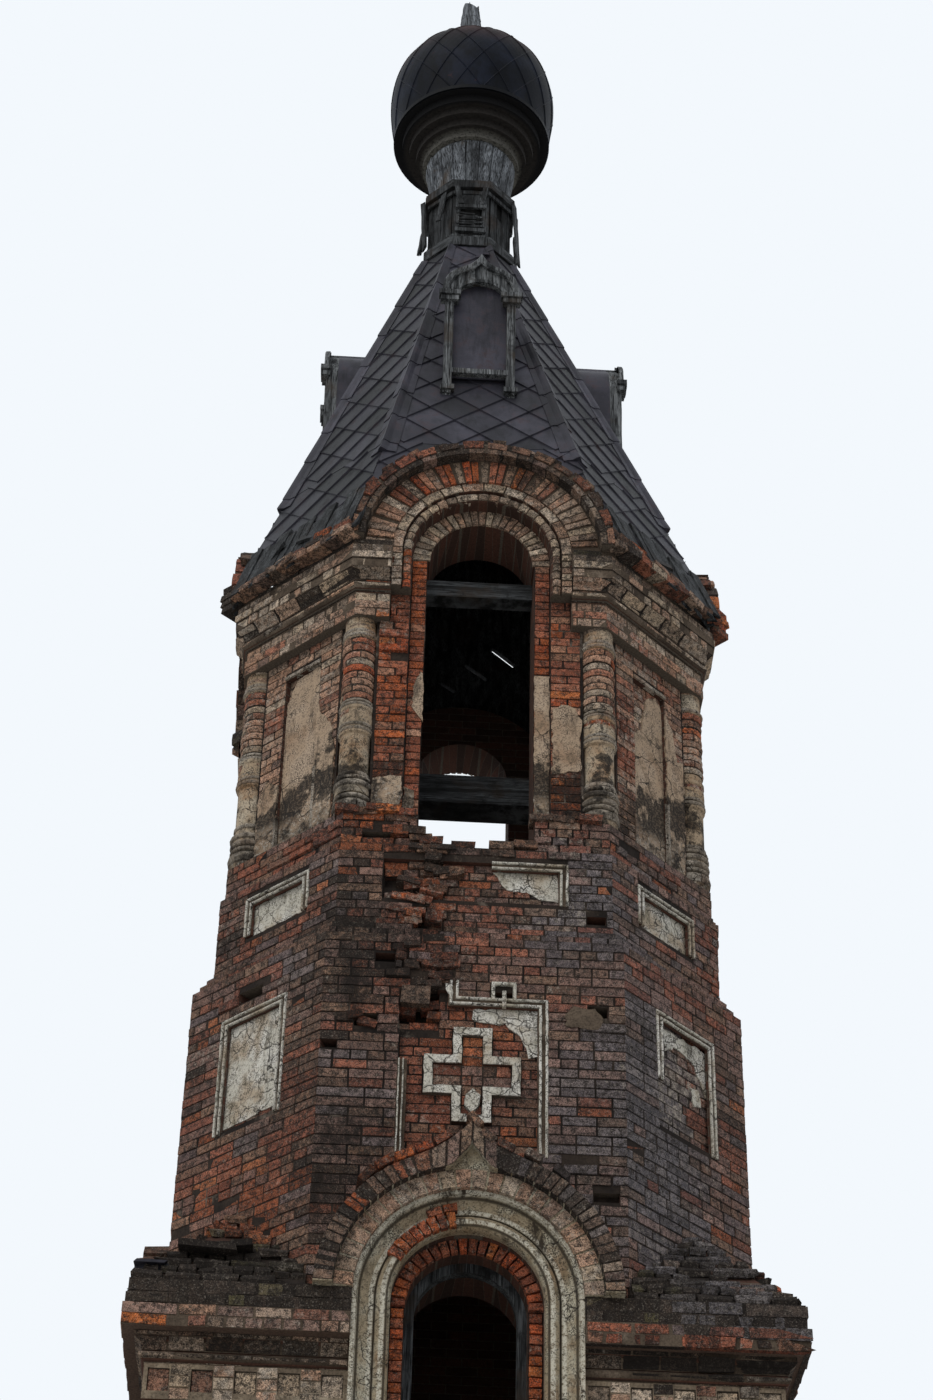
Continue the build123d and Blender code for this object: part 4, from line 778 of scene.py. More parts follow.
def makeSquareBricks():
    heap = Heap(11)
    q = square
    ends = (True, True)
    for turn in cardinals:
        low, wall = wallFace(turn, q["plinth"], True), wallFace(turn, q["half"], True)
        door = [boxGap(-q["doorHalf"], q["doorHalf"], -1, q["doorSpring"]),
                roundGap(q["doorRing"] - 0.05, q["doorSpring"])] if turn == 0 else []
        window = [boxGap(-q["archivolt"], q["archivolt"], q["windowSill"], archSpring)]
        layWall(heap, low, -q["plinth"], q["plinth"], 0.0, q["plinthTop"] - q["plinthBevel"], "square",
                door[:1], cornered=ends, soot=0.25, proud=0.007)
        layWall(heap, wall, -q["half"], q["half"], q["plinthTop"], q["lowerTop"], "square", door,
                cornered=ends)
        if door:
            layArch(heap, wall, q["doorSpring"], q["doorHalf"], q["doorRing"], -0.006, 0.014, 34, "ring")
        layWall(heap, wall, -q["half"], q["half"], q["upperFrom"], q["frieze"], "square", window,
                cornered=ends, lime=0.12)
        for side in (-1, 1):
            layWall(heap, wall, *between(side, q["windowHalf"], q["rebate"]), q["windowSill"], archSpring,
                    "ring", base=-0.10, proud=0.02)
            cells = [boxGap(side * c - 0.075, side * c + 0.075, q["cellLow"], q["cellTop"])
                     for c in q["cells"]]
            layWall(heap, wall, *between(side, q["half"], q["archivolt"]), q["frieze"], q["cornice"],
                    "frieze", cells, base=0.03, cornered=(side < 0, side > 0), lime=0.2, proud=0.006)
            for c in q["cells"]:
                looseBrick(heap, wall, side * c, -0.036, (q["cellLow"] + q["cellTop"]) / 2, 0, 0, "cell",
                           q["cellBrick"], 0.0)
        layArch(heap, wall, archSpring, q["windowHalf"], q["rebate"], -0.106, -0.055, 22, "ring")
    heap.make("squareBricks", firedClay, "brick_dark")


# Courses of a cornice: bottom, top, outs of the section from the bottom up, mix, pitch
squareCourses = [
    (0.000, 0.010, (0.030, 0.030), "header", 0.264),
    (0.010, 0.086, (0.030, 0.055, 0.070, 0.070, 0.055, 0.030), "dull", 0.264),
    (0.086, 0.170, (0.054, 0.056, 0.064, 0.082, 0.108), "dull", 0.264),
    (0.170, 0.205, (0.108, 0.108), "dull", 0.264),
    (0.205, 0.288, (0.206, 0.206), "corona", 0.132),
    (0.288, 0.370, (0.206, 0.206), "corona", 0.264),
    (0.370, 0.460, (0.190, 0.190), "mossy", 0.132),
    (0.460, 0.560, (0.186, 0.186), "mossy", 0.264),
]
bellCourses = [
    (0.000, 0.082, (0.090, 0.090), "bell", 0.132),
    (0.082, 0.165, (0.090, 0.090), "bell", 0.264),
    (0.165, 0.260, (0.075, 0.075), "header", 0.132),
    (0.270, 0.366, (0.087, 0.115, 0.132, 0.132, 0.115, 0.087), "ledge", 0.264),
    (0.366, 0.460, (0.116, 0.122, 0.140, 0.168, 0.193), "ledge", 0.264),
    (0.460, 0.550, (0.194, 0.194), "ledge", 0.132),
    (0.550, 0.630, (0.205, 0.205), "ledge", 0.264),
    (0.630, 0.710, (0.191, 0.191), "dull", 0.132),
    (0.710, 0.780, (0.166, 0.166), "mossy", 0.264),
]


def layCourses(heap, face, x0, x1, z, courses, cornered, lime, loose=0.0):
    for number, (low, high, outs, mix, pitch) in enumerate(courses):
        levels = [i / (len(outs) - 1) for i in range(len(outs))]
        section = [(0.02 + 0.96 * s, out) for s, out in zip(levels, outs)]
        section = [(0.02, outs[0] - 0.05)] + section + [(0.98, outs[-1] - 0.05)]

        def place(t, s, out):
            grown = out * face["bevel"]
            if cornered[0] and t < x0 + 0.015:
                t = x0 - grown
            if cornered[1] and t > x1 - 0.015:
                t = x1 + grown
            return spot(face, t, out, z + low + bed + s * (high - low - 2 * bed))
        bare = mix in ("mossy", "rubble", "ledge")   # the mortar has gone, so the joints are deep; the char run laid behind them is painted shade in the open joints
        mossy = mix == "mossy"
        if bare:
            bed = -0.004
            back = [(0.0, outs[0] - 0.05)] + [(s, out - 0.006) for s, out in zip(levels, outs)]
            layRun(heap, place, evenStops(x0, x1, 4), back + [(1.0, outs[-1] - 0.05)], "joint", **plainRun)
        bed = 0.006 if bare else 0.004
        layRun(heap, place, bondStops(x0, x1, pitch, 0.03 + 0.066 * (number % 2)), section, mix,
               joint=0.018 if bare else 0.011, lime=lime * (0.2 if mossy else 1),
               soot=0.2 if mix in ("dull", "mossy") else 0.0, rough=0.008 if bare else 0.004,
               loose=loose if mossy else 0.0)


def makeStringCourse():
    heap = Heap(12)
    half = square["half"]
    outs = (0.036, 0.086, 0.051)
    courses = [(0.08 * i, 0.08 * (i + 1), (out, out), "corona", 0.132) for i, out in enumerate(outs)]
    for turn in cardinals:
        layCourses(heap, wallFace(turn, half, True), -half, half, square["lowerTop"], courses, (True, True),
                   0.2)
    heap.make("stringCourseBricks", firedClay, "brick_pale")


def makeSquareCornice():
    heap = Heap(13)
    for turn in cardinals:
        for side in (-1, 1):
            bare = (turn == 0 and side > 0) or turn == 90   # where the limewash has gone from the corona
            courses = [(*shape, "rubble" if bare and mix == "corona" else mix, pitch)
                       for *shape, mix, pitch in squareCourses]
            layCourses(heap, wallFace(turn, square["half"], True),
                       *between(side, square["half"], square["archivolt"]), square["cornice"], courses,
                       (side < 0, side > 0), 0.1, 0.06)
    heap.make("squareCorniceBricks", firedClay, "brick_pale")


# The octagon's steps: half width, bottom and top
lowerTier, upperTier = 2.2, 2.047
steps = [(lowerTier, 9.96, 13.0), (2.149, 13.0, 13.08), (2.098, 13.08, 13.16), (upperTier, 13.16, 13.94),
         (2.01, 13.94, 14.26)]
crossPanel = {"half": 0.555, "bottom": 11.15, "top": 12.441, "sunk": 0.045, "notch": 0.218,
              "notchHalf": 0.088, "notchTop": 12.591, "upright": 0.148, "arm": 0.365, "crossBottom": 11.394,
              "crossTop": 12.197, "armBottom": 11.627, "armTop": 11.956, "band": 0.068, "bandSunk": 0.030}
tallPanel = {"half": 0.345, "bottom": 11.60, "top": 12.58, "sunk": 0.045}
widePanel = {"half": 0.73, "bottom": 13.43, "top": 13.80, "sunk": 0.045}
smallPanel = {"half": 0.345, "bottom": 13.43, "top": 13.80, "sunk": 0.045}
# Putlog holes and lost bricks at the front: x, z, width, height
frontHoles = [(-0.41, 12.35, 0.30, 0.33), (-0.378, 12.56, 0.206, 0.13), (-0.816, 12.225, 0.17, 0.11),
              (-0.687, 12.785, 0.15, 0.078), (-1.10, 12.007, 0.15, 0.07), (0.95, 12.38, 0.15, 0.10),
              (1.0, 10.825, 0.19, 0.075), (-0.422, 13.247, 0.12, 0.24), (-0.633, 13.60, 0.16, 0.09),
              (0.96, 13.30, 0.15, 0.075), (-0.70, 14.043, 0.42, 0.062)]
tierMix = {-45: "tierLeft", 45: "tierRight", 135: "tierLeft", 225: "tierRight"}


def makeTierBricks():
    heap = Heap(14)
    p = crossPanel
    b = p["band"]
    cross = [boxGap(-p["upright"], p["upright"], p["crossBottom"], p["crossTop"]),
             boxGap(-p["arm"], p["arm"], p["armBottom"], p["armTop"])]
    notches = [boxGap(s * p["notch"] - p["notchHalf"], s * p["notch"] + p["notchHalf"], p["top"],
                      p["notchTop"])
               for s in (-1, 1)]
    for turn in cardinals + diagonals:
        mix = tierMix.get(turn, "tier")
        holes = [boxGap(x - w / 2, x + w / 2, z - h / 2, z + h / 2)
                 for x, z, w, h in frontHoles] if turn == 0 else []
        if turn % 90:
            gaps = [panelGap(tallPanel), panelGap(smallPanel)]
            if turn == -45:
                gaps.append(boxGap(-0.19, 0.07, 12.69, 12.79))
        else:
            gaps = [roundGap(0.83, archSpring), boxGap(-bell["opening"], bell["opening"], 13.95, 15),
                    panelGap(p)]
            gaps += notches + [panelGap(widePanel)] + holes
        for half, low, high in steps:
            face = wallFace(turn, half)
            layWall(heap, face, -face["length"], face["length"], low, high, mix, gaps, cornered=(True, True),
                    loose=0.004)
        face, upper = wallFace(turn, lowerTier), wallFace(turn, upperTier)
        if turn % 90:
            layPanel(heap, face, tallPanel, mix, lime=0.15)
            layPanel(heap, upper, smallPanel, mix, lime=0.15)
            continue
        layPanel(heap, face, p, "panelFlat", cross + holes)
        layWall(heap, face, -p["upright"] + b, p["upright"] - b, p["crossBottom"] + b, p["crossTop"] - b,
                "tier", base=-p["bandSunk"])
        for side in (-1, 1):
            layWall(heap, face, *between(side, p["upright"] - b, p["arm"] - b), p["armBottom"] + b,
                    p["armTop"] - b, "tier", base=-p["bandSunk"])
        layPanel(heap, upper, widePanel, mix, holes, 0.1)
    heap.make("tierBricks", firedClay, "brick_dark")


# Bell storey
bell = {"half": 1.93, "base": 14.26, "sootTop": 14.75, "opening": 0.465, "jamb": 0.60, "setback": 0.05,
        "cornice": 16.29, "stilt": 16.60, "eave": 17.07, "panelBottom": 14.33, "panelTop": 16.06,
        "panel": 0.206, "columnInset": 0.07, "columnRadius": 0.127, "columnBase": 0.15, "roll": 0.69,
        "third": 0.775, "fourth": 1.03, "fifth": 1.135, "thirdFront": 0.13, "fourthFront": 0.15,
        "fifthFront": 0.25, "pairs": 12, "labels": 16}
bellPanel = {"half": bell["panel"], "bottom": bell["panelBottom"], "top": bell["panelTop"], "sunk": 0.045}


def makeBellBricks():
    heap = Heap(15)
    b = bell
    middle = b["half"] - b["columnInset"]
    for turn in cardinals:
        face = wallFace(turn, b["half"])
        for side in (-1, 1):
            layWall(heap, face, *between(side, b["jamb"], faceHalf(middle) - b["columnBase"]), b["base"],
                    b["cornice"], "bellFlat", lime=0.12)
            layWall(heap, face, *between(side, b["opening"], b["jamb"]), b["base"], bellSpring, "jamb",
                    base=-b["setback"], proud=0.010)
    for turn in diagonals:
        face = wallFace(turn, b["half"])
        reach = (middle - faceHalf(middle)) / root2 - b["columnBase"]
        layWall(heap, face, -reach, reach, b["base"], b["cornice"], "bell", [panelGap(bellPanel)], lime=0.2)
        layPanel(heap, face, bellPanel, "bell", lime=0.2)
    heap.make("bellBricks", firedClay, "brick_red")


def makeBellCornice():
    heap = Heap(16)
    for turn in cardinals:
        face = wallFace(turn, bell["half"])
        for side in (-1, 1):
            layCourses(heap, face, *between(side, face["length"], bell["third"]), bell["cornice"],
                       bellCourses, (side < 0, side > 0), 0.16)
    for turn in diagonals:
        face = wallFace(turn, bell["half"])
        layCourses(heap, face, -face["length"], face["length"], bell["cornice"], bellCourses, (True, True),
                   0.18, 0.04)
    heap.make("bellCorniceBricks", firedClay, "brick_pale")


def makeBellArches():
    heap = Heap(17)
    dice = heap.dice
    b = bell
    fourth, fifth = b["fourth"], b["fifth"]
    roll = [(0.0, -0.01), (0.0, 0.078), (0.16, 0.111), (0.5, 0.126), (0.84, 0.111), (1.0, 0.080), (1.0, 0.0)]
    strip = [(0.0, 0.0), (0.02, 0.138), (0.98, 0.138), (1.0, 0.0)]
    for turn in cardinals:
        face = wallFace(turn, b["half"])

        def ring(r0, r1, *rest, **looks):
            layArch(heap, face, bellSpring, r0, r1, *rest, **looks)
        ring(0.446, b["jamb"], -0.058, -0.034, 25, "header", lime=0.2)
        layRun(heap, arcPlace(face, bellSpring, b["jamb"] + 0.002, b["roll"]), evenStops(0, math.pi, 21),
               roll, "header", joint=0.014, parts=2, lime=0.15, rough=0.005)
        ring(b["roll"], b["third"], 0.05, b["thirdFront"] + 0.008, 12, "header", parts=3, lime=0.2)
        for side in (-1, 1):
            left = side < 0
            mix, lime = ("jamb", 0.05) if left else ("header", 0.25)
            layRun(heap, lambda t, s, out: spot(face, side * (b["jamb"] + 0.002 + s * 0.088), out, t),
                   evenStops(b["stilt"], bellSpring, 5), roll, mix, lime=lime)
            layRun(heap, lambda t, s, out: spot(face, side * (b["roll"] + s * 0.085), out, t),
                   evenStops(b["stilt"], bellSpring, 6), strip, "header", lime=0.2)
            layWall(heap, face, *between(side, b["jamb"], b["third"]), b["cornice"], b["stilt"],
                    "jamb" if left else "bellFlat")
            for k in range(4):   # ends of the cornice's courses, next to the arch
                looseBrick(heap, face, side * (b["third"] + 0.10), 0.045 + 0.01 * k,
                           b["stilt"] + 0.04 + 0.078 * k, 0, dice.uniform(-0.03, 0.03),
                           "jamb" if left else "bell", (0.23, 0.13, 0.066), 0.1)
        start = math.asin((b["eave"] - bellSpring) / fourth)
        pitch = (math.pi - 2 * start) / b["pairs"]
        half = 0.070 / 0.90
        for k in range(b["pairs"]):
            middle = start + pitch * (k + 0.5)
            bright = 0.35 < middle / math.pi < 0.85
            mix, lime = ("pairs", 0.0) if bright else ("bell", 0.15)
            ring(b["third"] - 0.004, fourth - 0.02, 0.12, b["fourthFront"] + 0.018, 2, mix, middle - half,
                 middle + half, lime=lime)
            ring(b["third"] - 0.002, fourth - 0.01, 0.12, b["fourthFront"] + 0.004, 1, "header",
                 middle + half + 0.006, middle - half + pitch - 0.006, parts=2, lime=0.15)
        start = math.asin((b["eave"] - bellSpring) / fifth)
        split = (fourth + fifth) / 2
        ring(fourth - 0.003, fifth + 0.002, 0.14, b["fifthFront"] + 0.001, 6, "joint", start, math.pi - start,
             parts=6)
        ring(fourth - 0.004, split - 0.006, 0.14, b["fifthFront"] + 0.008, 22, "label", start,
             math.pi - start, parts=2, lime=0.12, soot=0.2)
        pitch = (math.pi - 2 * start) / b["labels"]
        for k in range(b["labels"]):   # loose headers, each a little out of line with the next
            tilt = dice.uniform(-0.006, 0.006)
            ring(split + 0.004, fifth + dice.uniform(0.006, 0.036), 0.14,
                 b["fifthFront"] + dice.uniform(0.008, 0.022), 1, "rubble", start + pitch * k + 0.012 + tilt,
                 start + pitch * (k + 1) - 0.012 + tilt, parts=2, soot=0.05)
    heap.make("bellArchBricks", firedClay, "brick_pale")


# A column from the top down: courses (bottom, top, count, swell, mix), rings (bottom, top, swell, soot)
columnParts = {
    "courses": [(16.17, 16.33, 2, -0.004, "header"), (15.93, 16.08, 2, 0.008, "bellFlat"),
                (15.43, 15.925, 7, 0.004, "shaft"), (15.232, 15.345, 1, 0.004, "bellFlat")],
    "rings": [(16.125, 16.17, 0.020, 0.6), (16.085, 16.12, 0.028, 0.6), (15.395, 15.425, 0.018, 0.0),
              (15.352, 15.387, 0.024, 0.0), (15.192, 15.226, 0.014, 0.1), (15.148, 15.184, 0.022, 0.0),
              (15.100, 15.138, 0.027, 0.0), (14.650, 14.690, 0.014, 0.3), (14.606, 14.640, 0.029, 0.3),
              (14.540, 14.594, 0.037, 0.1), (14.470, 14.524, 0.036, 0.6), (14.420, 14.458, 0.031, 0.8),
              (14.300, 14.408, 0.041, 0.0)],
    "ringCurve": ((0.0, 0.35), (0.16, 0.85), (0.5, 1), (0.84, 0.85), (1.0, 0.35)),
}


def columnSpots():
    long = bell["half"] - bell["columnInset"]
    short = faceHalf(long)
    return [(sx * x, sy * y) for x, y in ((short, long), (long, short)) for sx in (-1, 1) for sy in (-1, 1)]


def makeColumns():
    heap, rings = Heap(18), Heap(33)
    for x, y in columnSpots():
        away = math.atan2(y, x)

        def tube(low, high, swell):
            def place(t, s, out):
                r = bell["columnRadius"] + swell + out
                return Vector((x + r * math.cos(t), y + r * math.sin(t), low + s * (high - low)))
            return place
        for low, high, count, swell, mix in columnParts["courses"]:
            bed = [(0.0, -0.012), (0.0, 0.001), (1.0, 0.001), (1.0, -0.012)]
            layRun(heap, tube(low, high, swell), [away - 2.0, away + 2.0], bed, "joint", parts=12, **plainRun)
            course = (high - low) / count
            section = [(0.0, -0.012), (0.04, 0.005), (0.5, 0.011), (0.96, 0.005), (1.0, -0.012)]
            for k in range(count):
                cuts = [away - 2.0, away + heap.dice.uniform(-0.7, 0.7), away + 2.0]
                layRun(heap, tube(low + course * k + 0.0045, low + course * (k + 1) - 0.0045, swell), cuts,
                       section, mix, joint=0.07, parts=7, lime=0.16, rough=0.005, rag=0.002)
        for low, high, proud, shade in columnParts["rings"]:
            curve = [(s, proud * part) for s, part in columnParts["ringCurve"]]
            cuts = [away - 2.1, away + rings.dice.uniform(-0.8, 0.8), away + 2.1]
            if rings.dice.random() < 0.93:
                layRun(rings, tube(low, high, 0), cuts, [(0.0, -0.01)] + curve + [(1.0, -0.01)], "header",
                       joint=0.03, parts=9, soot=shade, rag=0.0025)
    rings.make("columnRings", columnRing, "plaster")
    heap.make("columnBricks", firedClay, "plaster")


# The keel's line, x and height over the arch's middle: where it leaves the round label, its waist and its tip
keel = {"leave": (0.45, 1.004), "waist": (0.19, 1.145), "tip": (0, 1.33), "innerTip": (0, 1.14),
        "innerTurn": 81}


def keelPlace(face):   # runs along the label: t 0 to 1 from the foot to the tip on one side
    inner, label = square["band"], square["label"]
    leave, waist, tip, innerTip = (Vector(keel[key]) for key in ("leave", "waist", "tip", "innerTip"))
    turnAngle = math.acos(keel["leave"][0] / label)

    def place(t, s, out, side=1):
        if t < 0.8:
            a = turnAngle * t / 0.8
            r = inner + (label - inner) * s
            return spot(face, side * r * math.cos(a), out, archSpring + r * math.sin(a))
        u = (t - 0.8) / 0.2
        a = turnAngle + (math.radians(keel["innerTurn"]) - turnAngle) * min(1, u / 0.6)
        near = Vector((inner * math.cos(a), inner * math.sin(a)))
        if u > 0.6:
            near = near.lerp(innerTip, (u - 0.6) / 0.4)
        far = leave * (1 - u) ** 2 + (waist * 2 - leave / 2 - tip / 2) * 2 * u * (1 - u) + tip * u ** 2
        p = near.lerp(far, s)
        return spot(face, side * p.x, out, archSpring + p.y)
    return place


def makeKokoshnikBricks():
    heap = Heap(19)
    q = square
    start = math.asin((q["corniceTop"] - archSpring) / q["band"])
    front = q["labelFront"]
    profile = [(0.0, 0.18), (0.02, front + 0.010), (0.98, front + 0.010), (1.0, 0.18)]
    bed = [(0.0, 0.18), (0.0, front + 0.002), (1.0, front + 0.002), (1.0, 0.18)]
    for turn in cardinals:
        face = wallFace(turn, q["half"], True)
        layArch(heap, face, archSpring, q["archivolt"] - 0.003, q["band"], 0.16, q["bandFront"] + 0.008, 24,
                "band", start, math.pi - start, lime=0.18, parts=2)
        place = keelPlace(face)
        for side in (-1, 1):
            layRun(heap, lambda t, s, out: place(t, s, out, side), evenStops(0.02, 1.0, 2), bed, "joint",
                   parts=10, **plainRun)
            layRun(heap, lambda t, s, out: place(t, s, out, side), evenStops(0.02, 1.0, 20), profile, "label",
                   joint=0.006, parts=2, lime=0.06, soot=0.15, rough=0.008)
        # Where the moulding broke away over the window, a second ring of headers shows
        for r0, r1, base, out, count, a, b in ((0.556, 0.672, 0.04, 0.128, 8, 99, 151),
                                               (0.676, 0.735, 0.06, 0.135, 2, 97, 116)):
            layArch(heap, face, archSpring, r0, r1, base, out, count, "ring", math.radians(a),
                    math.radians(b))
    heap.make("kokoshnikBricks", firedClay, "plaster")


makeSquareBricks()
makeStringCourse()
makeSquareCornice()
makeTierBricks()
makeBellBricks()
makeBellCornice()
makeBellArches()
makeColumns()
makeKokoshnikBricks()
print("bricks")

# Plaster that still holds: patches with torn edges, and run mouldings round the panels


def layPatch(heap, face, out, thick, rag, *outline):
    dice = heap.dice
    edge = []
    for (x0, z0), (x1, z1) in pairs(outline):
        count = max(1, round(math.hypot(x1 - x0, z1 - z0) / 0.045))
        for k in range(count):
            t = k / count
            edge.append((x0 + (x1 - x0) * t + dice.uniform(-rag, rag),
                         z0 + (z1 - z0) * t + dice.uniform(-rag, rag)))
    count = len(edge)
    points = [spot(face, x, out + rise, z) for rise in (thick, -0.004) for x, z in edge]
    faces = [tuple(t) for t in tessellate_polygon([[Vector((x, z, 0)) for x, z in edge]])]
    faces += [(i, count + i, count + (i + 1) % count, (i + 1) % count) for i in range(count)]
    heap.add(points, faces)


def layStrip(heap, face, path, section, out, closed=False, rag=0.0025):
    dice = heap.dice
    way = []
    for (x0, z0), (x1, z1) in pairs(path) if closed else pairs(path)[:-1]:
        count = max(1, round(math.hypot(x1 - x0, z1 - z0) / 0.07))
        for k in range(count):
            slip = dice.uniform(-rag, rag) if k else 0
            way.append(Vector((x0 + (x1 - x0) * k / count + slip, z0 + (z1 - z0) * k / count + slip)))
    if not closed:
        way.append(Vector(path[-1]))
    count, total = len(section), len(way)
    points = []
    for i, here in enumerate(way):
        before = way[i - 1] if i or closed else here
        after = way[(i + 1) % total] if i < total - 1 or closed else here
        first = (here - before).normalized() if here != before else (after - here).normalized()
        second = (after - here).normalized() if here != after else first
        middle = (first + second).normalized()
        normal = Vector((-middle.y, middle.x))
        reach = 1 / max(0.4, normal.dot(Vector((-first.y, first.x))))
        for across, rise in section:
            p = here + normal * across * reach
            points.append(spot(face, p.x, out + rise + dice.uniform(-0.001, 0.001), p.y))
    ends = [] if closed else [tuple(range(count)), tuple(range((total - 1) * count, total * count))]
    heap.add(points, skin(total, count, closed) + ends)


# Sections of the mouldings: across, and out from the face
flatBand = [(-0.034, -0.004), (-0.032, 0.008), (0.032, 0.008), (0.034, -0.004)]
ridge = [(-0.011, -0.02), (-0.010, 0.010), (-0.004, 0.016), (0.004, 0.016), (0.010, 0.010), (0.011, -0.02)]
frameBed = [(-0.046, -0.02), (-0.044, 0.002), (0.044, 0.0), (0.046, -0.02)]
panelTrim = [(-0.016, -0.03), (-0.014, 0.018), (0.012, 0.022), (0.016, -0.01)]


def crossPath():
    p = crossPanel
    inset = p["band"] / 2
    u, a = p["upright"] - inset, p["arm"] - inset
    bottom, low, high, top = (p["crossBottom"] + inset, p["armBottom"] + inset, p["armTop"] - inset,
                              p["crossTop"] - inset)
    right = [(u, bottom), (u, low), (a, low), (a, high), (u, high), (u, top)]
    return right + [(-x, z) for x, z in reversed(right)]


def framePath(half, low, high):   # round a panel's left, top and right
    return [(-half, low), (-half, high), (half, high), (half, low)]


def makePanelPlaster():
    heap, beds = Heap(21), Heap(34)
    p = crossPanel
    edge, sunk = p["half"] - 0.02, -p["sunk"]
    lowSide, highSide = tallPanel["bottom"] - 0.02, tallPanel["top"] - 0.02
    side = tallPanel["half"] - 0.02
    narrow = side - 0.03
    upperLow, upperHigh = smallPanel["bottom"] + 0.02, 13.775

    def frameRound(face, path, gap=0.024, width=1.0):
        layStrip(beds, face, path, frameBed, 0.002)
        for shift in (-gap, gap):
            layStrip(heap, face, path, [(shift + a * width, o) for a, o in ridge], 0.006, rag=0.003)

    def stub(face, width, out, *path):   # a short piece of the notched frame over the cross
        layStrip(heap, face, path, [(a * width, o + 0.004) for a, o in ridge], out)
    for turn in cardinals:
        face, upper = wallFace(turn, lowerTier), wallFace(turn, upperTier)
        layStrip(heap, face, crossPath(), flatBand, 0.0, closed=True, rag=0.004)
        layPatch(heap, face, sunk, 0.018, 0.012, (-0.01, 12.38), (edge, 12.39), (edge, 11.98), (0.432, 11.97),
                 (0.35, 12.16), (0.237, 12.25), (0.10, 12.27), (-0.007, 12.28))
        frameRound(face, [(-0.150, 12.60), (-0.150, 12.425), (edge, 12.425), (edge, 11.12)])
        frameRound(face, [(-edge, 11.12), (-edge, 11.90)], 0.016, 0.6)
        stub(face, 1.3, 0.010, (0.148, 12.44), (0.148, 12.585), (0.312, 12.585), (0.312, 12.44))
        stub(face, 1.5, 0.008, (0.232, 12.38), (0.232, 12.52))
        layPatch(heap, face, 0.0, 0.012, 0.008, (-0.23, 12.60), (-0.17, 12.61), (-0.165, 12.45),
                 (-0.22, 12.52))
        layPatch(beds, face, 0.004, 0.014, 0.012, (0.70, 12.24), (0.95, 12.22), (1.00, 12.30), (0.92, 12.40),
                 (0.78, 12.41), (0.70, 12.33))
        layPatch(heap, face, -p["bandSunk"], 0.045, 0.006, (-0.055, 11.53), (0.0, 11.48), (0.055, 11.53),
                 (0.06, 11.62), (0.01, 11.67), (-0.05, 11.62))
        frameRound(upper, [(0.13, upperHigh), (0.705, upperHigh), (0.705, 13.42)])
        layPatch(heap, upper, sunk, 0.014, 0.012, (0.15, 13.74), (0.66, 13.74), (0.66, 13.47), (0.52, 13.50),
                 (0.42, 13.55), (0.24, 13.58))
    for turn in diagonals:
        face, upper = wallFace(turn, lowerTier), wallFace(turn, upperTier)
        if turn in (-45, 135):   # whole
            frameRound(face, framePath(side, lowSide, highSide))
            layPatch(heap, face, sunk, 0.018, 0.008, (-narrow, lowSide + 0.05), (narrow, lowSide + 0.09),
                     (narrow, highSide - 0.03), (-narrow, highSide - 0.03))
        else:
            frameRound(face, [(-side, 12.0), (-side, highSide), (side, highSide), (side, lowSide)])
            layPatch(heap, face, sunk, 0.016, 0.012, (-0.25, 12.50), (narrow, 12.50), (narrow, 12.10),
                     (0.20, 12.24), (0.12, 12.36), (-0.10, 12.38), (-0.20, 12.30))
            layPatch(heap, face, sunk, 0.014, 0.012, (0.10, 12.10), (0.20, 12.14), (0.22, 12.00),
                     (0.13, 11.96))
        frameRound(upper, framePath(side, upperLow, upperHigh))
        layPatch(heap, upper, sunk, 0.014, 0.008, (-side, 13.46), (side, 13.47), (side, 13.74),
                 (-side, 13.74))
    beds.make("frameBeds", washedMortar, "plaster")
    heap.make("panelPlaster", panelPlaster, "plaster")


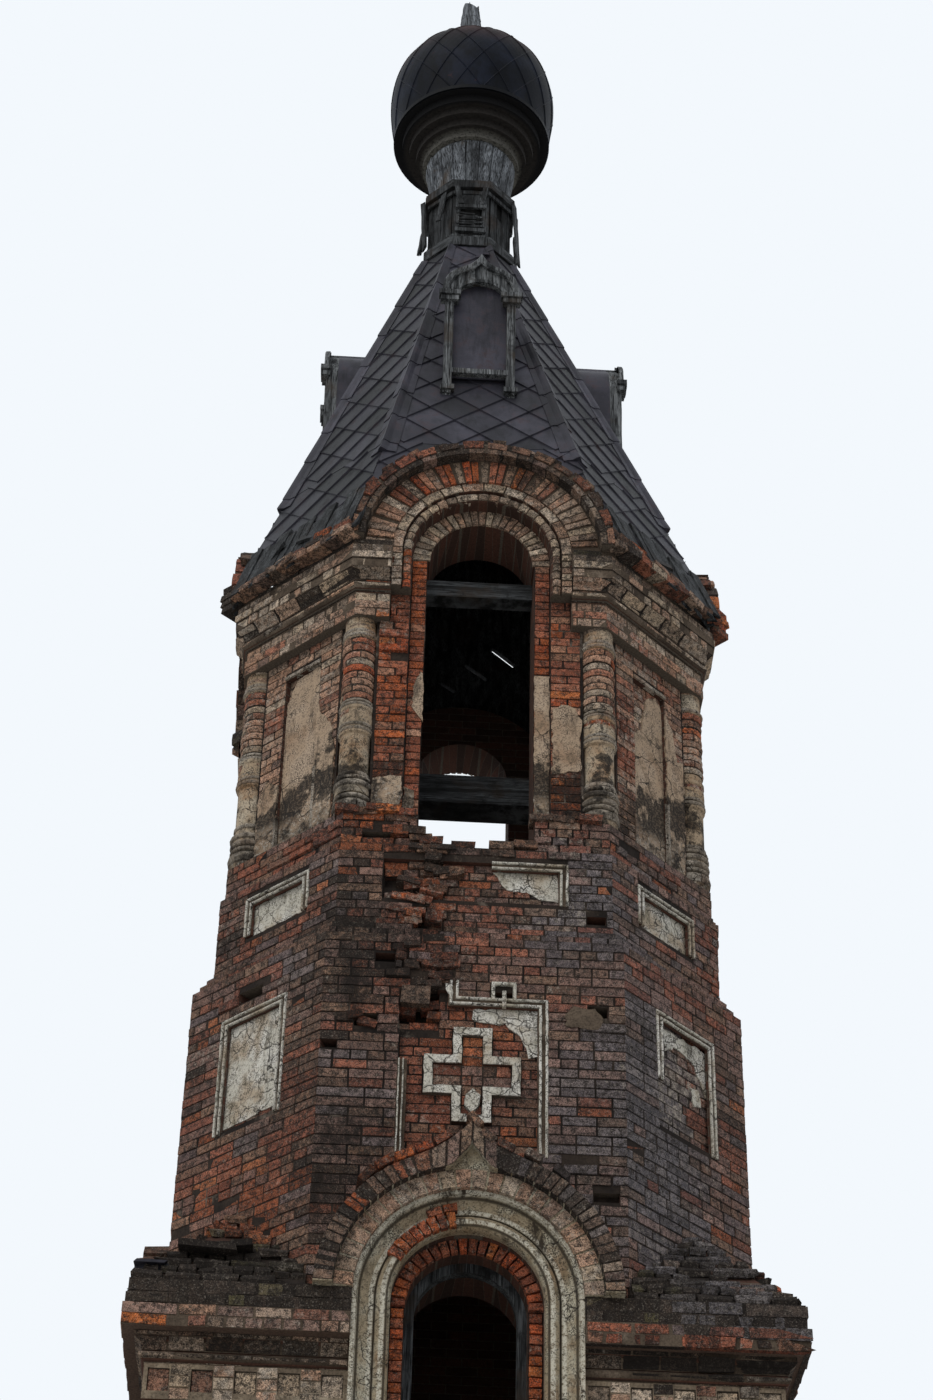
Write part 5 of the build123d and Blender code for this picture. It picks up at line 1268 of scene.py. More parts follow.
def makeBellPlaster():
    heap, trim = Heap(22), Heap(35)
    s, sunk, jamb = bell["panel"], -bellPanel["sunk"], -bell["setback"]
    right, left = s + 0.005, -s - 0.005   # just outside the panel
    for turn in cardinals:
        face = wallFace(turn, bell["half"])
        layPatch(heap, face, jamb, 0.018, 0.008, (-0.50, 15.81), (-0.467, 15.78), (-0.467, 15.28),
                 (-0.556, 15.43), (-0.534, 15.7))
        layPatch(heap, face, jamb, 0.017, 0.006, (0.47, 15.82), (0.597, 15.82), (0.597, 14.27), (0.47, 14.27))
        layPatch(heap, face, 0.0, 0.016, 0.012, (0.62, 15.44), (0.70, 15.50), (0.80, 15.46), (0.857, 15.33),
                 (0.857, 14.82), (0.62, 14.78))
        layPatch(heap, face, 0.0, 0.016, 0.012, (-0.855, 14.66), (-0.62, 14.69), (-0.61, 14.51),
                 (-0.64, 14.30), (-0.855, 14.28))
        layPatch(heap, face, jamb, 0.016, 0.012, (-0.598, 14.62), (-0.50, 14.58), (-0.52, 14.30),
                 (-0.598, 14.27))
    for turn in diagonals:
        face = wallFace(turn, bell["half"])
        if turn in (-45, 135):   # whole
            layPatch(heap, face, sunk, 0.022, 0.008, (-s, 14.34), (s, 14.34), (s, 15.95), (0.16, 16.05),
                     (-0.10, 16.03), (-s, 15.8))
            layPatch(heap, face, 0.0, 0.016, 0.012, (right, 14.27), (0.43, 14.27), (0.44, 15.06),
                     (0.38, 15.34), (0.26, 15.46), (right, 15.6))
            layPatch(heap, face, 0.0, 0.016, 0.012, (-0.44, 14.27), (left, 14.27), (left, 14.95),
                     (-0.36, 15.05), (-0.44, 14.9))
        else:
            layPatch(heap, face, sunk, 0.022, 0.010, (-s, 14.34), (s, 14.34), (s, 15.95), (0.12, 16.04),
                     (0.0, 15.95), (-0.08, 15.6), (-s, 15.45))
            layPatch(heap, face, 0.0, 0.016, 0.012, (right, 14.27), (0.40, 14.27), (0.44, 14.75),
                     (0.44, 15.5), (0.36, 15.45), (0.30, 15.75), (right, 15.9))
        rim = s + 0.01
        for path in ([(-rim, 14.62), (-rim, 14.31), (rim, 14.31), (rim, 14.95)],
                     [(-rim, 16.075), (rim, 16.075)]):
            layStrip(trim, face, path, panelTrim, 0.0, rag=0.004)
    trim.make("bellTrim", columnRing, "plaster")
    heap.make("bellPlaster", bellPlaster, "plaster")


# Bricks that stand loose: on the keel, round the bell arches and on the ledges
loose = {
    "ringCount": 19, "ringFrom": 32, "ringPitch": 6.4, "ledgeCount": 16, "ledgeLevel": 9.985,
    "cavityCount": 46, "course": 0.072,
    # On the keel: x, z and how far each is turned, in degrees
    "keel": [(-0.757, 10.78, 50), (-0.633, 10.88, 33), (-0.49, 10.95, 24), (-0.345, 11.01, 22),
             (-0.219, 11.10, 36), (0.02, 11.26, -50), (0.120, 11.13, -42), (0.242, 11.05, -28),
             (0.445, 10.98, -30), (0.647, 10.86, -42)],
    # Along the ragged edge under the bell opening: x, z
    "ragged": [(-1.05, 14.27), (-0.90, 14.27), (-0.72, 14.28), (-0.58, 14.27), (-0.50, 14.10), (-0.44, 14.02),
               (0.40, 14.0), (0.52, 14.27), (-0.80, 14.30), (0.70, 14.28), (0.92, 14.27), (-0.36, 13.98),
               (0.20, 13.97), (-0.10, 13.97)],
    # Blocks in the breaks of the front: x, out, z, tilt, size, mix
    "blocks": [(-0.445, -0.045, 12.455, 0.04, (0.22, 0.16, 0.15), "label"),
               (-0.50, -0.12, 12.36, 0.1, (0.13, 0.12, 0.07), "ring"),
               (-0.33, -0.10, 12.40, -0.2, (0.14, 0.12, 0.07), "ring"),
               (-0.30, -0.07, 12.30, 0.1, (0.10, 0.1, 0.07), "rubble"),
               (-0.36, -0.11, 12.22, 0.0, (0.24, 0.1, 0.06), "ring"),
               (-0.48, -0.12, 12.21, 0.1, (0.18, 0.1, 0.06), "rubble"),
               (-0.40, -0.06, 12.60, -0.1, (0.2, 0.12, 0.07), "rubble"),
               (-0.80, -0.03, 12.20, 0.3, (0.15, 0.1, 0.07), "ring"),
               (-0.90, -0.02, 12.26, -0.3, (0.12, 0.1, 0.07), "ring"),
               (-0.32, -0.03, 13.18, 0.2, (0.13, 0.12, 0.1), "ring")],
    # Slab and debris on the square's corners: face, x, z, size, tilt, mix
    "debris": [(0, -1.86, 10.30, (0.42, 0.25, 0.05), 0.06, "mossy"),
               (0, -1.62, 10.33, (0.16, 0.2, 0.05), -0.12, "mossy"),
               (0, 1.99, 10.11, (0.26, 0.22, 0.07), 0.02, "label"),
               (0, 2.17, 10.02, (0.24, 0.24, 0.07), -0.05, "label"),
               (0, 2.22, 10.09, (0.2, 0.2, 0.06), 0.1, "mossy"),
               (0, 1.70, 10.12, (0.24, 0.2, 0.06), 0.0, "mossy"),
               (0, 1.36, 10.12, (0.24, 0.2, 0.06), -0.04, "mossy"),
               (90, -2.0, 10.07, (0.24, 0.22, 0.07), 0.05, "mossy"),
               (270, 1.9, 10.07, (0.24, 0.22, 0.07), 0.05, "mossy")],
}


def makeLooseBricks():
    heap = Heap(23)
    dice = heap.dice

    def about(reach):
        return dice.uniform(-reach, reach)
    front = wallFace(0, square["half"])
    for turn in cardinals:
        face = wallFace(turn, square["half"])
        for x, z, angle in loose["keel"]:
            looseBrick(heap, face, x, 0.16, z + 0.02, -math.radians(angle), about(0.06),
                       "ring" if x < 0 else "rubble", (0.13, 0.25, 0.06), 0.35)
        arch = wallFace(turn, bell["half"])
        for k in range(loose["ringCount"]):
            a = math.radians(loose["ringFrom"] + loose["ringPitch"] * k + about(1.0))
            if dice.random() < 0.15:
                continue
            r = bell["fifth"] + dice.uniform(0.025, 0.055)
            mix = "rubble" if 110 < math.degrees(a) else "mossy" if 75 < math.degrees(a) < 95 else "label"
            looseBrick(heap, arch, r * math.cos(a), 0.10 + dice.uniform(-0.02, 0.03),
                       bellSpring + r * math.sin(a), -(a - math.pi / 2) + about(0.16), about(0.08), mix,
                       (0.115, 0.22, 0.068), 0.25)
        for k in range(loose["ledgeCount"]):
            x = dice.choice((-1, 1)) * dice.uniform(1.15, 2.25)
            looseBrick(heap, face, x, dice.uniform(-0.02, 0.09), loose["ledgeLevel"], about(0.1), about(0.1),
                       "mossy", (0.2, 0.11, 0.06), 0.4)
    # Rubble of the wall's top along the broken eaves, and the stacks left on their corners
    for turn in diagonals:
        face = wallFace(turn, bell["half"])
        torn = turn in (-45, 45)
        for row in range(4 if torn else 1):
            for k in range(9 - row):
                x = -0.72 + 1.44 * (k + 0.5 + about(0.2)) / (9 - row)
                near = -x if turn == -45 else x
                if torn and row > 1.4 - 2.2 * near:
                    continue
                looseBrick(heap, face, x, 0.225 - 0.03 * row + about(0.02), 17.105 + loose["course"] * row,
                           about(0.22), about(0.25), dice.choice(("rubble", "rubble", "bell")),
                           (0.2, 0.16, 0.066), 0.2)
        x = -0.80 if turn == -45 else 0.80 if torn else 0.74
        for k in range(4 if torn else 2):
            looseBrick(heap, face, x + about(0.02), 0.10, 17.08 + loose["course"] * k, about(0.05),
                       about(0.05), "ring" if turn == 45 else "mossy",
                       (0.24, 0.22, 0.066) if torn else (0.2, 0.16, 0.066), 0.3)
    for x, z in loose["ragged"]:
        looseBrick(heap, wallFace(0, 2.0), x, dice.uniform(-0.03, 0.02), z, about(0.12), about(0.2), "rubble",
                   (0.19, 0.12, 0.066), 0.4)
    # Broken masonry down the left of the front, round the cavity above the cross
    for k in range(loose["cavityCount"]):
        z = dice.uniform(12.55, 14.15)
        x = -0.42 + 0.16 * math.sin(z * 5.1) - 0.5 * max(0, z - 13.7) + about(0.16)
        here = wallFace(0, lowerTier if z < 13 else upperTier if z < 13.94 else steps[-1][0])
        looseBrick(heap, here, x, dice.uniform(-0.045, -0.015), z, about(0.25), about(0.35), "rubble",
                   (dice.uniform(0.11, 0.2), 0.11, 0.062), 0.35)
    for x, out, z, turned, size, mix in loose["blocks"]:
        looseBrick(heap, front, x, out, z, turned, about(0.1), mix, size, 0.3)
    for turn, x, z, size, turned, mix in loose["debris"]:
        looseBrick(heap, wallFace(turn, square["half"], True), x, -0.05, z, turned, about(0.05), mix, size,
                   0.3)
    heap.make("looseBricks", firedClay, "brick_red")


# Sloping brickwork on the square's corners, in steps grown over with moss
cornerStep = {"edge": 2.34, "peak": 1.676, "rise": 0.82, "inner": 1.011, "count": 10,
              "section": [(0.02, -0.03), (0.03, 0.014), (0.5, 0.022), (0.95, 0.004), (1.0, -0.09)]}


def makeCornerSteps():
    heap = Heap(24)
    c = cornerStep
    for corner, side in [(corner, side) for corner in diagonals for side in (-1, 1)]:
        face = wallFace(corner + side * 45, square["half"], True)
        for k in range(c["count"]):
            back = (c["edge"] - c["peak"]) * k / c["count"]
            low, reach = c["rise"] * k / c["count"], c["edge"] - back
            inner = c["inner"] + back
            start = max(1.16, inner) if reach > square["half"] else inner
            if reach - start < 0.08:
                continue

            def place(t, s, out):
                x = -side * t if t < reach - 0.012 else -side * (reach + out)
                return spot(face, x, reach - square["half"] + out,
                            square["corniceTop"] + low + 0.002 + s * 0.078)
            layRun(heap, place, bondStops(start, reach, 0.132 if k % 2 else 0.264, 0.03 + 0.04 * k),
                   c["section"], "mossy", rough=0.022, soot=0.45, loose=0.10, rag=0.012)
    heap.make("cornerSteps", firedClay, "brick_dark")


# A board from start to end, bowed a little, its outer edges split at the ends
def board(heap, start, end, wide, thick, facing, wideEnd=None, shade=0.2, warp=0.003, splits=0.0):
    dice = heap.dice
    start, axis = Vector(start), Vector(end) - Vector(start)
    side = axis.cross(Vector(facing)).normalized()
    face = side.cross(axis).normalized()
    wideEnd = wide if wideEnd is None else wideEnd
    points, parts = [], 4
    for k in range(parts + 1):
        t = k / parts
        w = (wide + (wideEnd - wide) * t) / 2
        centre = start + axis * t + face * dice.uniform(-warp, warp)
        tip = axis.normalized() * (dice.uniform(-splits, splits) if k in (0, parts) else 0)
        points += [centre - side * w - face * thick / 2, centre - side * w + face * thick / 2 + tip,
                   centre + side * w + face * thick / 2 - tip, centre + side * w - face * thick / 2]
    faces = [(a, d, c, b) for a, b, c, d in skin(parts + 1, 4, tube=True)]
    faces += [(3, 2, 1, 0), tuple(range(4 * parts, 4 * parts + 4))]
    heap.add(points, faces, soot=max(0.0, shade + dice.uniform(-0.2, 0.2)))


# Tent roof: lozenge sheets on boards. A level is its height, half its width, half a cardinal side and its
# shift to the side.
roof = [(17.10, 2.20, 1.13, 0.0), (18.54, 1.73, 0.85, -0.0321), (22.49, 0.44, 0.19, lean)]
sheet = {"across": 0.46, "lap": 0.010, "seamWide": 0.009, "seamHigh": 0.011, "archEdge": 1.155,
         "slitReach": 0.34, "slits": ((0.128, 18.57), (0.398, 18.736), (-0.05, 18.60)),
         "tornLeft": 17.62, "tornRight": 17.50}
hip = {"from": 18.40, "until": 22.40, "top": 22.47, "wide": 0.118, "wideTop": 0.045, "taper": 4.0,
       "length": 0.52}


def octagonRing(half, side, shift, z=0.0):
    ring = [(-side, -half), (side, -half), (half, -side), (half, side), (side, half), (-side, half),
            (-half, side), (-half, -side)]
    return [Vector((x + shift, y, z)) for x, y in ring]


def octagonCorners(level):
    z, half, side, shift = level
    return octagonRing(half, side, shift, z)


def clipPolygon(polygon, fence):   # keeps what lies to the left of each side of a convex fence
    for start, end in pairs(fence):
        side = end - start
        kept = []
        for a, b in pairs(polygon):
            da = side.x * (a - start).y - side.y * (a - start).x
            db = side.x * (b - start).y - side.y * (b - start).x
            if da >= 0:
                kept.append(a)
            if da * db < 0:
                kept.append(a.lerp(b, da / (da - db)))
        polygon = kept
        if len(polygon) < 3:
            return []
    return polygon


def tentPlanes():   # each panel of the roof as a plane: its origin, directions and outline
    for low, high in zip(roof, roof[1:]):
        feet, heads = pairs(octagonCorners(low)), pairs(octagonCorners(high))
        for i, ((p0, p1), (q0, q1)) in enumerate(zip(feet, heads)):
            origin = (p0 + p1) / 2
            u = (p1 - p0).normalized()
            v = (q0 + q1) / 2 - origin
            v = (v - u * v.dot(u)).normalized()
            outline = [Vector(((p - origin).dot(u), (p - origin).dot(v))) for p in (p0, p1, q1, q0)]
            middle = Vector((0, (bellSpring - low[0]) / v.z)) if i % 2 == 0 and low is roof[0] else None
            yield {"side": i, "origin": origin, "u": u, "v": v, "n": u.cross(v), "outline": outline,
                   "arch": middle}


def clearArch(plane, p):   # a point inside a bell opening's arch moves out to its edge
    if plane["arch"] is None:
        return p, False
    offset = p - plane["arch"]
    away = math.hypot(offset.x, offset.y * plane["v"].z)
    if away >= sheet["archEdge"]:
        return p, False
    return offset * (sheet["archEdge"] / max(away, 0.05)) + plane["arch"], True


def onPlane(plane, x, y, lift=0.0):
    return plane["origin"] + plane["u"] * x + plane["v"] * y + plane["n"] * lift


# Where the eaves are torn, and where light comes through over the opening at the back
def isOpen(side, corner):
    ragged = 0.18 * noise.noise(corner * 3)
    if side in (1, 7):
        return corner.z < ragged + sheet["tornLeft" if side == 7 else "tornRight"]
    return side == 4 and any(math.hypot(corner.x - x, corner.z - z) < sheet["slitReach"]
                             for x, z in sheet["slits"])


def layLozenge(heap, plane, cx, cy):
    dice, d, outline = heap.dice, sheet["across"], plane["outline"]
    whole = [Vector((cx, cy - d / 2)), Vector((cx + d / 2, cy)), Vector((cx, cy + d / 2)),
             Vector((cx - d / 2, cy))]
    shape = clipPolygon(whole, outline)
    if len(shape) < 3:
        return
    if plane["arch"]:
        cut = [clearArch(plane, a.lerp(b, k / 4)) for a, b in pairs(shape) for k in range(4)]
        if all(inside for p, inside in cut):
            return
        shape = [p for p, inside in cut]
    if isOpen(plane["side"], onPlane(plane, cx, cy)):
        return
    tilt = dice.uniform(-0.004, 0.004)
    count = len(shape)
    points = [onPlane(plane, p.x, p.y, 0.004 + sheet["lap"] * (0.5 - (p.y - cy) / d) + tilt * (p.x - cx) / d)
              for p in shape]
    points += [onPlane(plane, p.x, p.y, -0.003) for p in shape]
    faces = [tuple(range(count))] + [(k, count + k, count + (k + 1) % count, (k + 1) % count)
                                     for k in range(count)]
    # each sheet's tone varies at random, and the diagonal sides get 0.55 more as painted shade
    heap.add(points, faces, soot=max(0, dice.uniform(-0.4, 0.8)) + (0.55 if plane["side"] % 2 else 0))
    for a, b in ((whole[3], whole[0]), (whole[0], whole[1])):   # standing seams along the two lower edges
        line = (b - a).normalized()
        across = Vector((-(b - a).y, (b - a).x)).normalized() * sheet["seamWide"]
        seam = clipPolygon([a - across, b - across, b + across, a + across], outline)
        if len(seam) < 3 or any(clearArch(plane, p)[1] for p in seam):
            continue
        reach = sorted((p - a).dot(line) for p in seam)
        a2, b2 = a + line * reach[0], a + line * reach[-1]
        high = sheet["lap"] + sheet["seamHigh"]
        rows = [onPlane(plane, p.x, p.y, lift) for end in (a2, b2)
                for p, lift in ((end - across, 0), (end, high), (end + across, 0))]
        heap.add(rows, [(0, 3, 4, 1), (1, 4, 5, 2), (0, 1, 2), (3, 5, 4)], soot=0.3)


def makeTentSheets():
    heap = Heap(25)
    d = sheet["across"]
    for plane in tentPlanes():
        for row in range(-1, 2 * int(plane["outline"][2].y / d) + 4):
            for column in range(-6, 7):
                layLozenge(heap, plane, (column + 0.5 * (row % 2)) * d, row * d / 2)
    heap.make("tentSheets", roofSteel, "roof_sheet")


def hipAt(corner, z):
    low, high = roof[:2] if z < roof[1][0] else roof[1:]
    t = (z - low[0]) / (high[0] - low[0])
    return octagonCorners(low)[corner % 8].lerp(octagonCorners(high)[corner % 8], t)


def makeHipCovers():
    heap = Heap(26)
    dice = heap.dice
    for corner in range(8):
        z = hip["from"]
        while z < hip["until"]:
            top = min(hip["top"], z + hip["length"] * dice.uniform(0.85, 1.1))
            if z < roof[1][0] < top:
                top = roof[1][0]
            a, b = hipAt(corner, z), hipAt(corner, top)
            axis = (b - a).normalized()
            wings = []
            for other in (hipAt(corner - 1, z), hipAt(corner + 1, z)):
                normal = (other - a).cross(axis)
                if normal.dot(Vector((a.x, a.y, 0))) < 0:
                    normal = -normal
                across = (other - a) - axis * (other - a).dot(axis)
                wings.append((across.normalized(), normal.normalized()))
            out = (wings[0][1] + wings[1][1]).normalized()
            wide = hip["wide"] + (hip["wideTop"] - hip["wide"]) * (z - hip["from"]) / hip["taper"]
            points = []
            for centre, lift, grow in ((a - axis * 0.025, 0.020, 1.06), (a, 0.021, 1.06), (b, 0.012, 0.96)):
                left, right = ([centre + w * wide * grow - n * 0.01, centre + w * wide * grow + n * lift,
                                centre + w * 0.042 + n * (lift + 0.005),
                                centre + w * 0.024 + out * (lift + 0.028)]
                               for w, n in wings)
                points += left + [centre + out * (lift + 0.038)] + right[::-1]
            heap.add(points, skin(3, 9) + [tuple(range(9))], soot=max(0, dice.uniform(-0.3, 0.7)))
            z = top
    # flashing at the top
    for i, (x, wide) in enumerate(((-0.16, 0.09), (-0.03, 0.12), (0.10, 0.08), (0.17, 0.05))):
        board(heap, (x + lean, -0.50 - 0.02 * i, 22.24 + 0.03 * (i % 2)), (x + lean, -0.425, 22.50), wide,
              0.006, (0, -1, 0.3), shade=-0.1, splits=0.02)
    heap.make("hipCovers", roofSteel, "roof_sheet", ("hip_caps",))


def makeCornerSheet():   # a strip of sheet steel left on the square's corner
    heap = Heap(36)
    strips = [((-2.36, 0.03, 10.095), (-2.12, 0.04, 10.10), 0.07, 0.012, 0.3),
              ((-2.36, 0.02, 10.135), (-2.14, 0.02, 10.13), 0.02, 0.16, 0.0)]
    for turn in (0, 180):
        side = wallFace(turn, square["half"], True)
        for start, end, wide, thick, shade in strips:
            board(heap, spot(side, *start), spot(side, *end), wide, thick, side["out"], shade=shade,
                  warp=0.01, splits=0.02)
    heap.make("cornerSheet", roofSteel, "roof_sheet")


# Lantern: boards between the posts, bands, the front bay's brackets and panel, and boards that hang loose.
# A bay's boards are share of the bay, width, bottom and top. A band is its level, height and how far out.
lantern = {
    "half": 0.42, "face": 0.18, "boardsFrom": 22.62,
    "front": ((0.10, 0.05, 0.0, 0.74), (0.90, 0.05, 0.0, 0.74)),
    "cardinal": ((0.22, 0.07, 0.0, 0.74), (0.74, 0.06, 0.0, 0.62), (0.86, 0.05, 0.1, 0.74)),
    "bands": ((22.555, 0.12, 0.062), (23.415, 0.10, 0.062), (23.31, 0.05, 0.035), (22.65, 0.05, 0.03)),
    "bay": [((-0.27, -0.47, 23.35), (-0.225, -0.435, 23.13), 0.05, 0.05, -0.2, 0.02),
            ((0.03, -0.47, 23.35), (-0.015, -0.435, 23.13), 0.05, 0.05, -0.2, 0.02),
            ((lean, -0.428, 23.14), (lean, -0.430, 23.31), 0.19, 0.015, 0.3, 0.02),
            ((-0.28, -0.445, 23.09), (0.04, -0.445, 23.095), 0.045, 0.03, -0.1, 0.0),
            ((-0.28, -0.445, 22.74), (0.04, -0.445, 22.73), 0.05, 0.03, 0.0, 0.0)],
    "hanging": [((-0.62, -0.20, 23.36), (-0.585, -0.22, 22.66), 0.075),
                ((-0.60, -0.05, 23.30), (-0.62, -0.02, 22.80), 0.06),
                ((-0.61, -0.13, 23.00), (-0.64, -0.12, 22.70), 0.10),
                ((0.37, -0.12, 23.30), (0.385, -0.10, 22.80), 0.11),
                ((0.345, -0.22, 23.40), (0.395, -0.16, 22.55), 0.08),
                ((0.36, 0.0, 23.10), (0.40, 0.05, 22.45), 0.07),
                ((0.34, -0.05, 22.60), (0.44, -0.08, 22.20), 0.06),
                ((-0.40, -0.37, 23.34), (-0.46, -0.40, 22.9), 0.06)],
}


def makeLanternBoards():
    heap = Heap(27)
    dice = heap.dice
    up = Vector((0, 0, 1))
    for i, (a, b) in enumerate(pairs(octagonRing(lantern["half"] - 0.02, lantern["face"] - 0.01, lean))):
        out = (b - a).cross(up).normalized()
        length = (b - a).length
        line = (b - a) / length
        if i % 2:
            places = ((0.28, 0.09, 0.0, 0.74), (0.55, 0.07, 0.0, 0.3 + dice.uniform(0, 0.3)),
                      (0.78, 0.08, 0.05, 0.74))
        else:
            places = lantern["cardinal" if i else "front"]
        for share, wide, bottom, top in places:
            foot = a + line * length * share + up * (lantern["boardsFrom"] + bottom) + out * 0.004
            head = foot + up * (top - bottom) + line * dice.uniform(-0.012, 0.012)
            board(heap, foot, head, wide, 0.02, out, shade=dice.uniform(0, 0.5), splits=0.02)
        for z, height, proud in lantern["bands"]:
            slope = dice.uniform(-0.006, 0.006)
            board(heap, a + out * proud - line * 0.02 + up * (z - slope),
                  b + out * proud + line * 0.02 + up * (z + slope), height, 0.022, out, shade=0.1,
                  splits=0.015)
    south = (0, -1, 0)
    for start, end, wide, thick, shade, splits in lantern["bay"]:
        board(heap, start, end, wide, thick, south, shade=shade, splits=splits)
    for k in range(9):   # broken laths under the panel
        z = 22.79 + 0.026 * k
        board(heap, (-0.25 + dice.uniform(-0.02, 0.03), -0.43, z + dice.uniform(-0.01, 0.02)),
              (0.0 + dice.uniform(-0.08, 0.02), -0.44, z + dice.uniform(-0.04, 0.02)), 0.018, 0.012, south,
              shade=dice.uniform(0, 0.7), splits=0.01)
    for start, end, wide in lantern["hanging"]:
        board(heap, start, end, wide, 0.022, (start[0] - lean, start[1], 0), shade=dice.uniform(0, 0.5),
              splits=0.03)
    heap.make("lanternPlanks", darkUpright, "timber")


# Drum, dome and post, round an axis that leans with the roof
drum = {"count": 20, "foot": 23.47, "head": 24.10, "footRadius": 0.382, "headRadius": 0.468, "wide": 0.112,
        "wideTop": 0.136}
dome = {"columns": 16, "rows": 8,
        "profile": [(0.827, 24.535), (0.888, 25.08), (0.76, 25.60), (0.43, 25.88), (0.0, 25.98)],
        "slopes": [(0.10, 0.85), (0.0, 0.95), (-0.40, 0.62), (-0.70, 0.30), (-0.75, 0.0)], "seam": 0.011,
        "stops": (0.0, 0.035, 0.2, 0.4, 0.6, 0.8, 0.965, 1.0)}
rim = {"z": 24.530, "radius": 0.812, "thick": 0.035, "high": 0.05, "count": 64}
post = {"low": (-0.13, 0, 25.93), "high": (-0.165, 0, 26.58), "count": 14, "lowRadius": 0.142,
        "highRadius": 0.104, "tips": (0.05, 0.24, 0.10, 0.28, 0.04, 0.15, 0.26)}


def rayOut(angle):
    return Vector((math.cos(angle), math.sin(angle), 0))


def makeDrumPlanks():
    heap = Heap(28)
    dice = heap.dice
    axis = Vector((lean, 0, 0))
    for k in range(drum["count"]):
        out = rayOut(2 * math.pi * k / drum["count"] + dice.uniform(-0.01, 0.01))
        foot = axis + out * drum["footRadius"] + Vector((0, 0, drum["foot"] + dice.uniform(0, 0.02)))
        head = axis + out * drum["headRadius"] + Vector((0, 0, drum["head"] - dice.uniform(0, 0.05)))
        board(heap, foot, head, drum["wide"], 0.020, out, drum["wideTop"],
              dice.choice((-0.2, -0.1, 0.1, 0.3)), 0.005, 0.01)
    heap.make("drumPlanks", greyUpright, "timber")


def domeCurve(t):   # radius and height; t from 0 at the rim to 1 at the top
    knots = dome["profile"]
    place = min(len(knots) - 1.000001, t * (len(knots) - 1))
    k = int(place)
    s = place - k
    p0, p1 = Vector(knots[k]), Vector(knots[k + 1])
    m0, m1 = (Vector(slope).normalized() * (p1 - p0).length for slope in dome["slopes"][k:k + 2])
    return (p0 * (2 * s ** 3 - 3 * s ** 2 + 1) + m0 * (s ** 3 - 2 * s ** 2 + s)
            + p1 * (3 * s ** 2 - 2 * s ** 3) + m1 * (s ** 3 - s ** 2))


def domePoint(angle, t, lift):
    r, z = domeCurve(t)
    r2, z2 = domeCurve(min(1, t + 0.01))
    r1, z1 = domeCurve(max(0, t - 0.01))
    tangent = Vector((r2 - r1, z2 - z1)).normalized()
    r, z = r + tangent.y * lift, z - tangent.x * lift
    return Vector((lean + r * math.cos(angle), r * math.sin(angle), z))


def hoop(z, radius, thick, high, count):   # a flat band round the axis
    points = []
    for k in range(count):
        a = 2 * math.pi * k / count
        for r, dz in ((radius, -high / 2), (radius + thick, -high / 2), (radius + thick, high / 2),
                      (radius, high / 2)):
            points.append(Vector((lean + r * math.cos(a), r * math.sin(a), z + dz)))
    return points, skin(count, 4, True, True)


def makeDomeSheets():
    heap = Heap(29)
    columns, rows, stops = dome["columns"], dome["rows"], dome["stops"]
    for row in range(-1, rows):
        for column in range(columns):
            middle = (column + 0.5 * (row % 2) + 0.22) * 2 * math.pi / columns
            points = []
            for a, b in [(a, b) for a in stops for b in stops]:
                t = max(0.0, min(0.97, (row + a + b) / (rows + 0.5)))
                edge = min(a, b, 1 - a, 1 - b)
                lift = dome["seam"] if edge == 0 else 0.002
                points.append(domePoint(middle + (a - b) * math.pi / columns, t, lift))
            heap.add(points, skin(len(stops), len(stops)), soot=max(0, heap.dice.uniform(-0.5, 0.6)))
    heap.add(*hoop(**rim), soot=1.0)
    heap.make("domeSheets", domeSteel, "dome_sheet", ("dome_shell",))


def makePostSplinters():
    heap = Heap(30)
    for k in range(post["count"]):
        out = rayOut(2 * math.pi * k / post["count"])
        tip = post["tips"][k % 7] + heap.dice.uniform(-0.02, 0.01)
        foot = Vector(post["low"]) + out * post["lowRadius"]
        waist = Vector(post["high"]) + out * post["highRadius"]
        board(heap, foot, waist, 0.066, 0.018, out, 0.050, shade=0.1, splits=0.004)
        board(heap, waist, waist + Vector((0, 0, tip)) - out * 0.02, 0.05, 0.022, out, 0.006, shade=0.0,
              splits=0.02)
    heap.make("postSplinters", greyUpright, "timber")


# Dormers: posts with caps and feet, a hood over the keel and the sheet's seams
dormer = {"front": 1.446, "half": 0.34, "foot": 19.44, "spring": 20.70, "peak": 21.27, "post": 0.085,
          "shift": -0.04, "rail": 19.74, "railHalf": 0.27, "strips": ((-0.024, 0.036), (0.018, 0.042)),
          "hood": [(-0.014, 0.0), (-0.012, 0.04), (0.0, 0.05), (0.03, 0.05), (0.050, 0.036), (0.053, -0.03)],
          "bead": [(-0.02, -0.02), (-0.018, 0.014), (0.018, 0.014), (0.02, -0.02)]}


def keelOutline(half, spring, peak):   # two curves, from the foot to the haunch and on to the peak
    steps = 8
    rise = peak - spring
    haunch = Vector((0.5 * half, 0.66 * rise))
    curves = [(Vector((half, 0)), Vector((1.02 * half, 0.52 * rise)), haunch),
              (haunch, Vector((0.14 * half, 0.78 * rise)), Vector((0, rise)))]
    stops = [(curve, k / steps) for curve in curves for k in range(steps + 1)]
    del stops[steps + 1]   # the haunch comes once
    points = [a * (1 - t) ** 2 + b * 2 * t * (1 - t) + c * t ** 2 for (a, b, c), t in stops]
    return [(p.x, spring + p.y) for p in points]


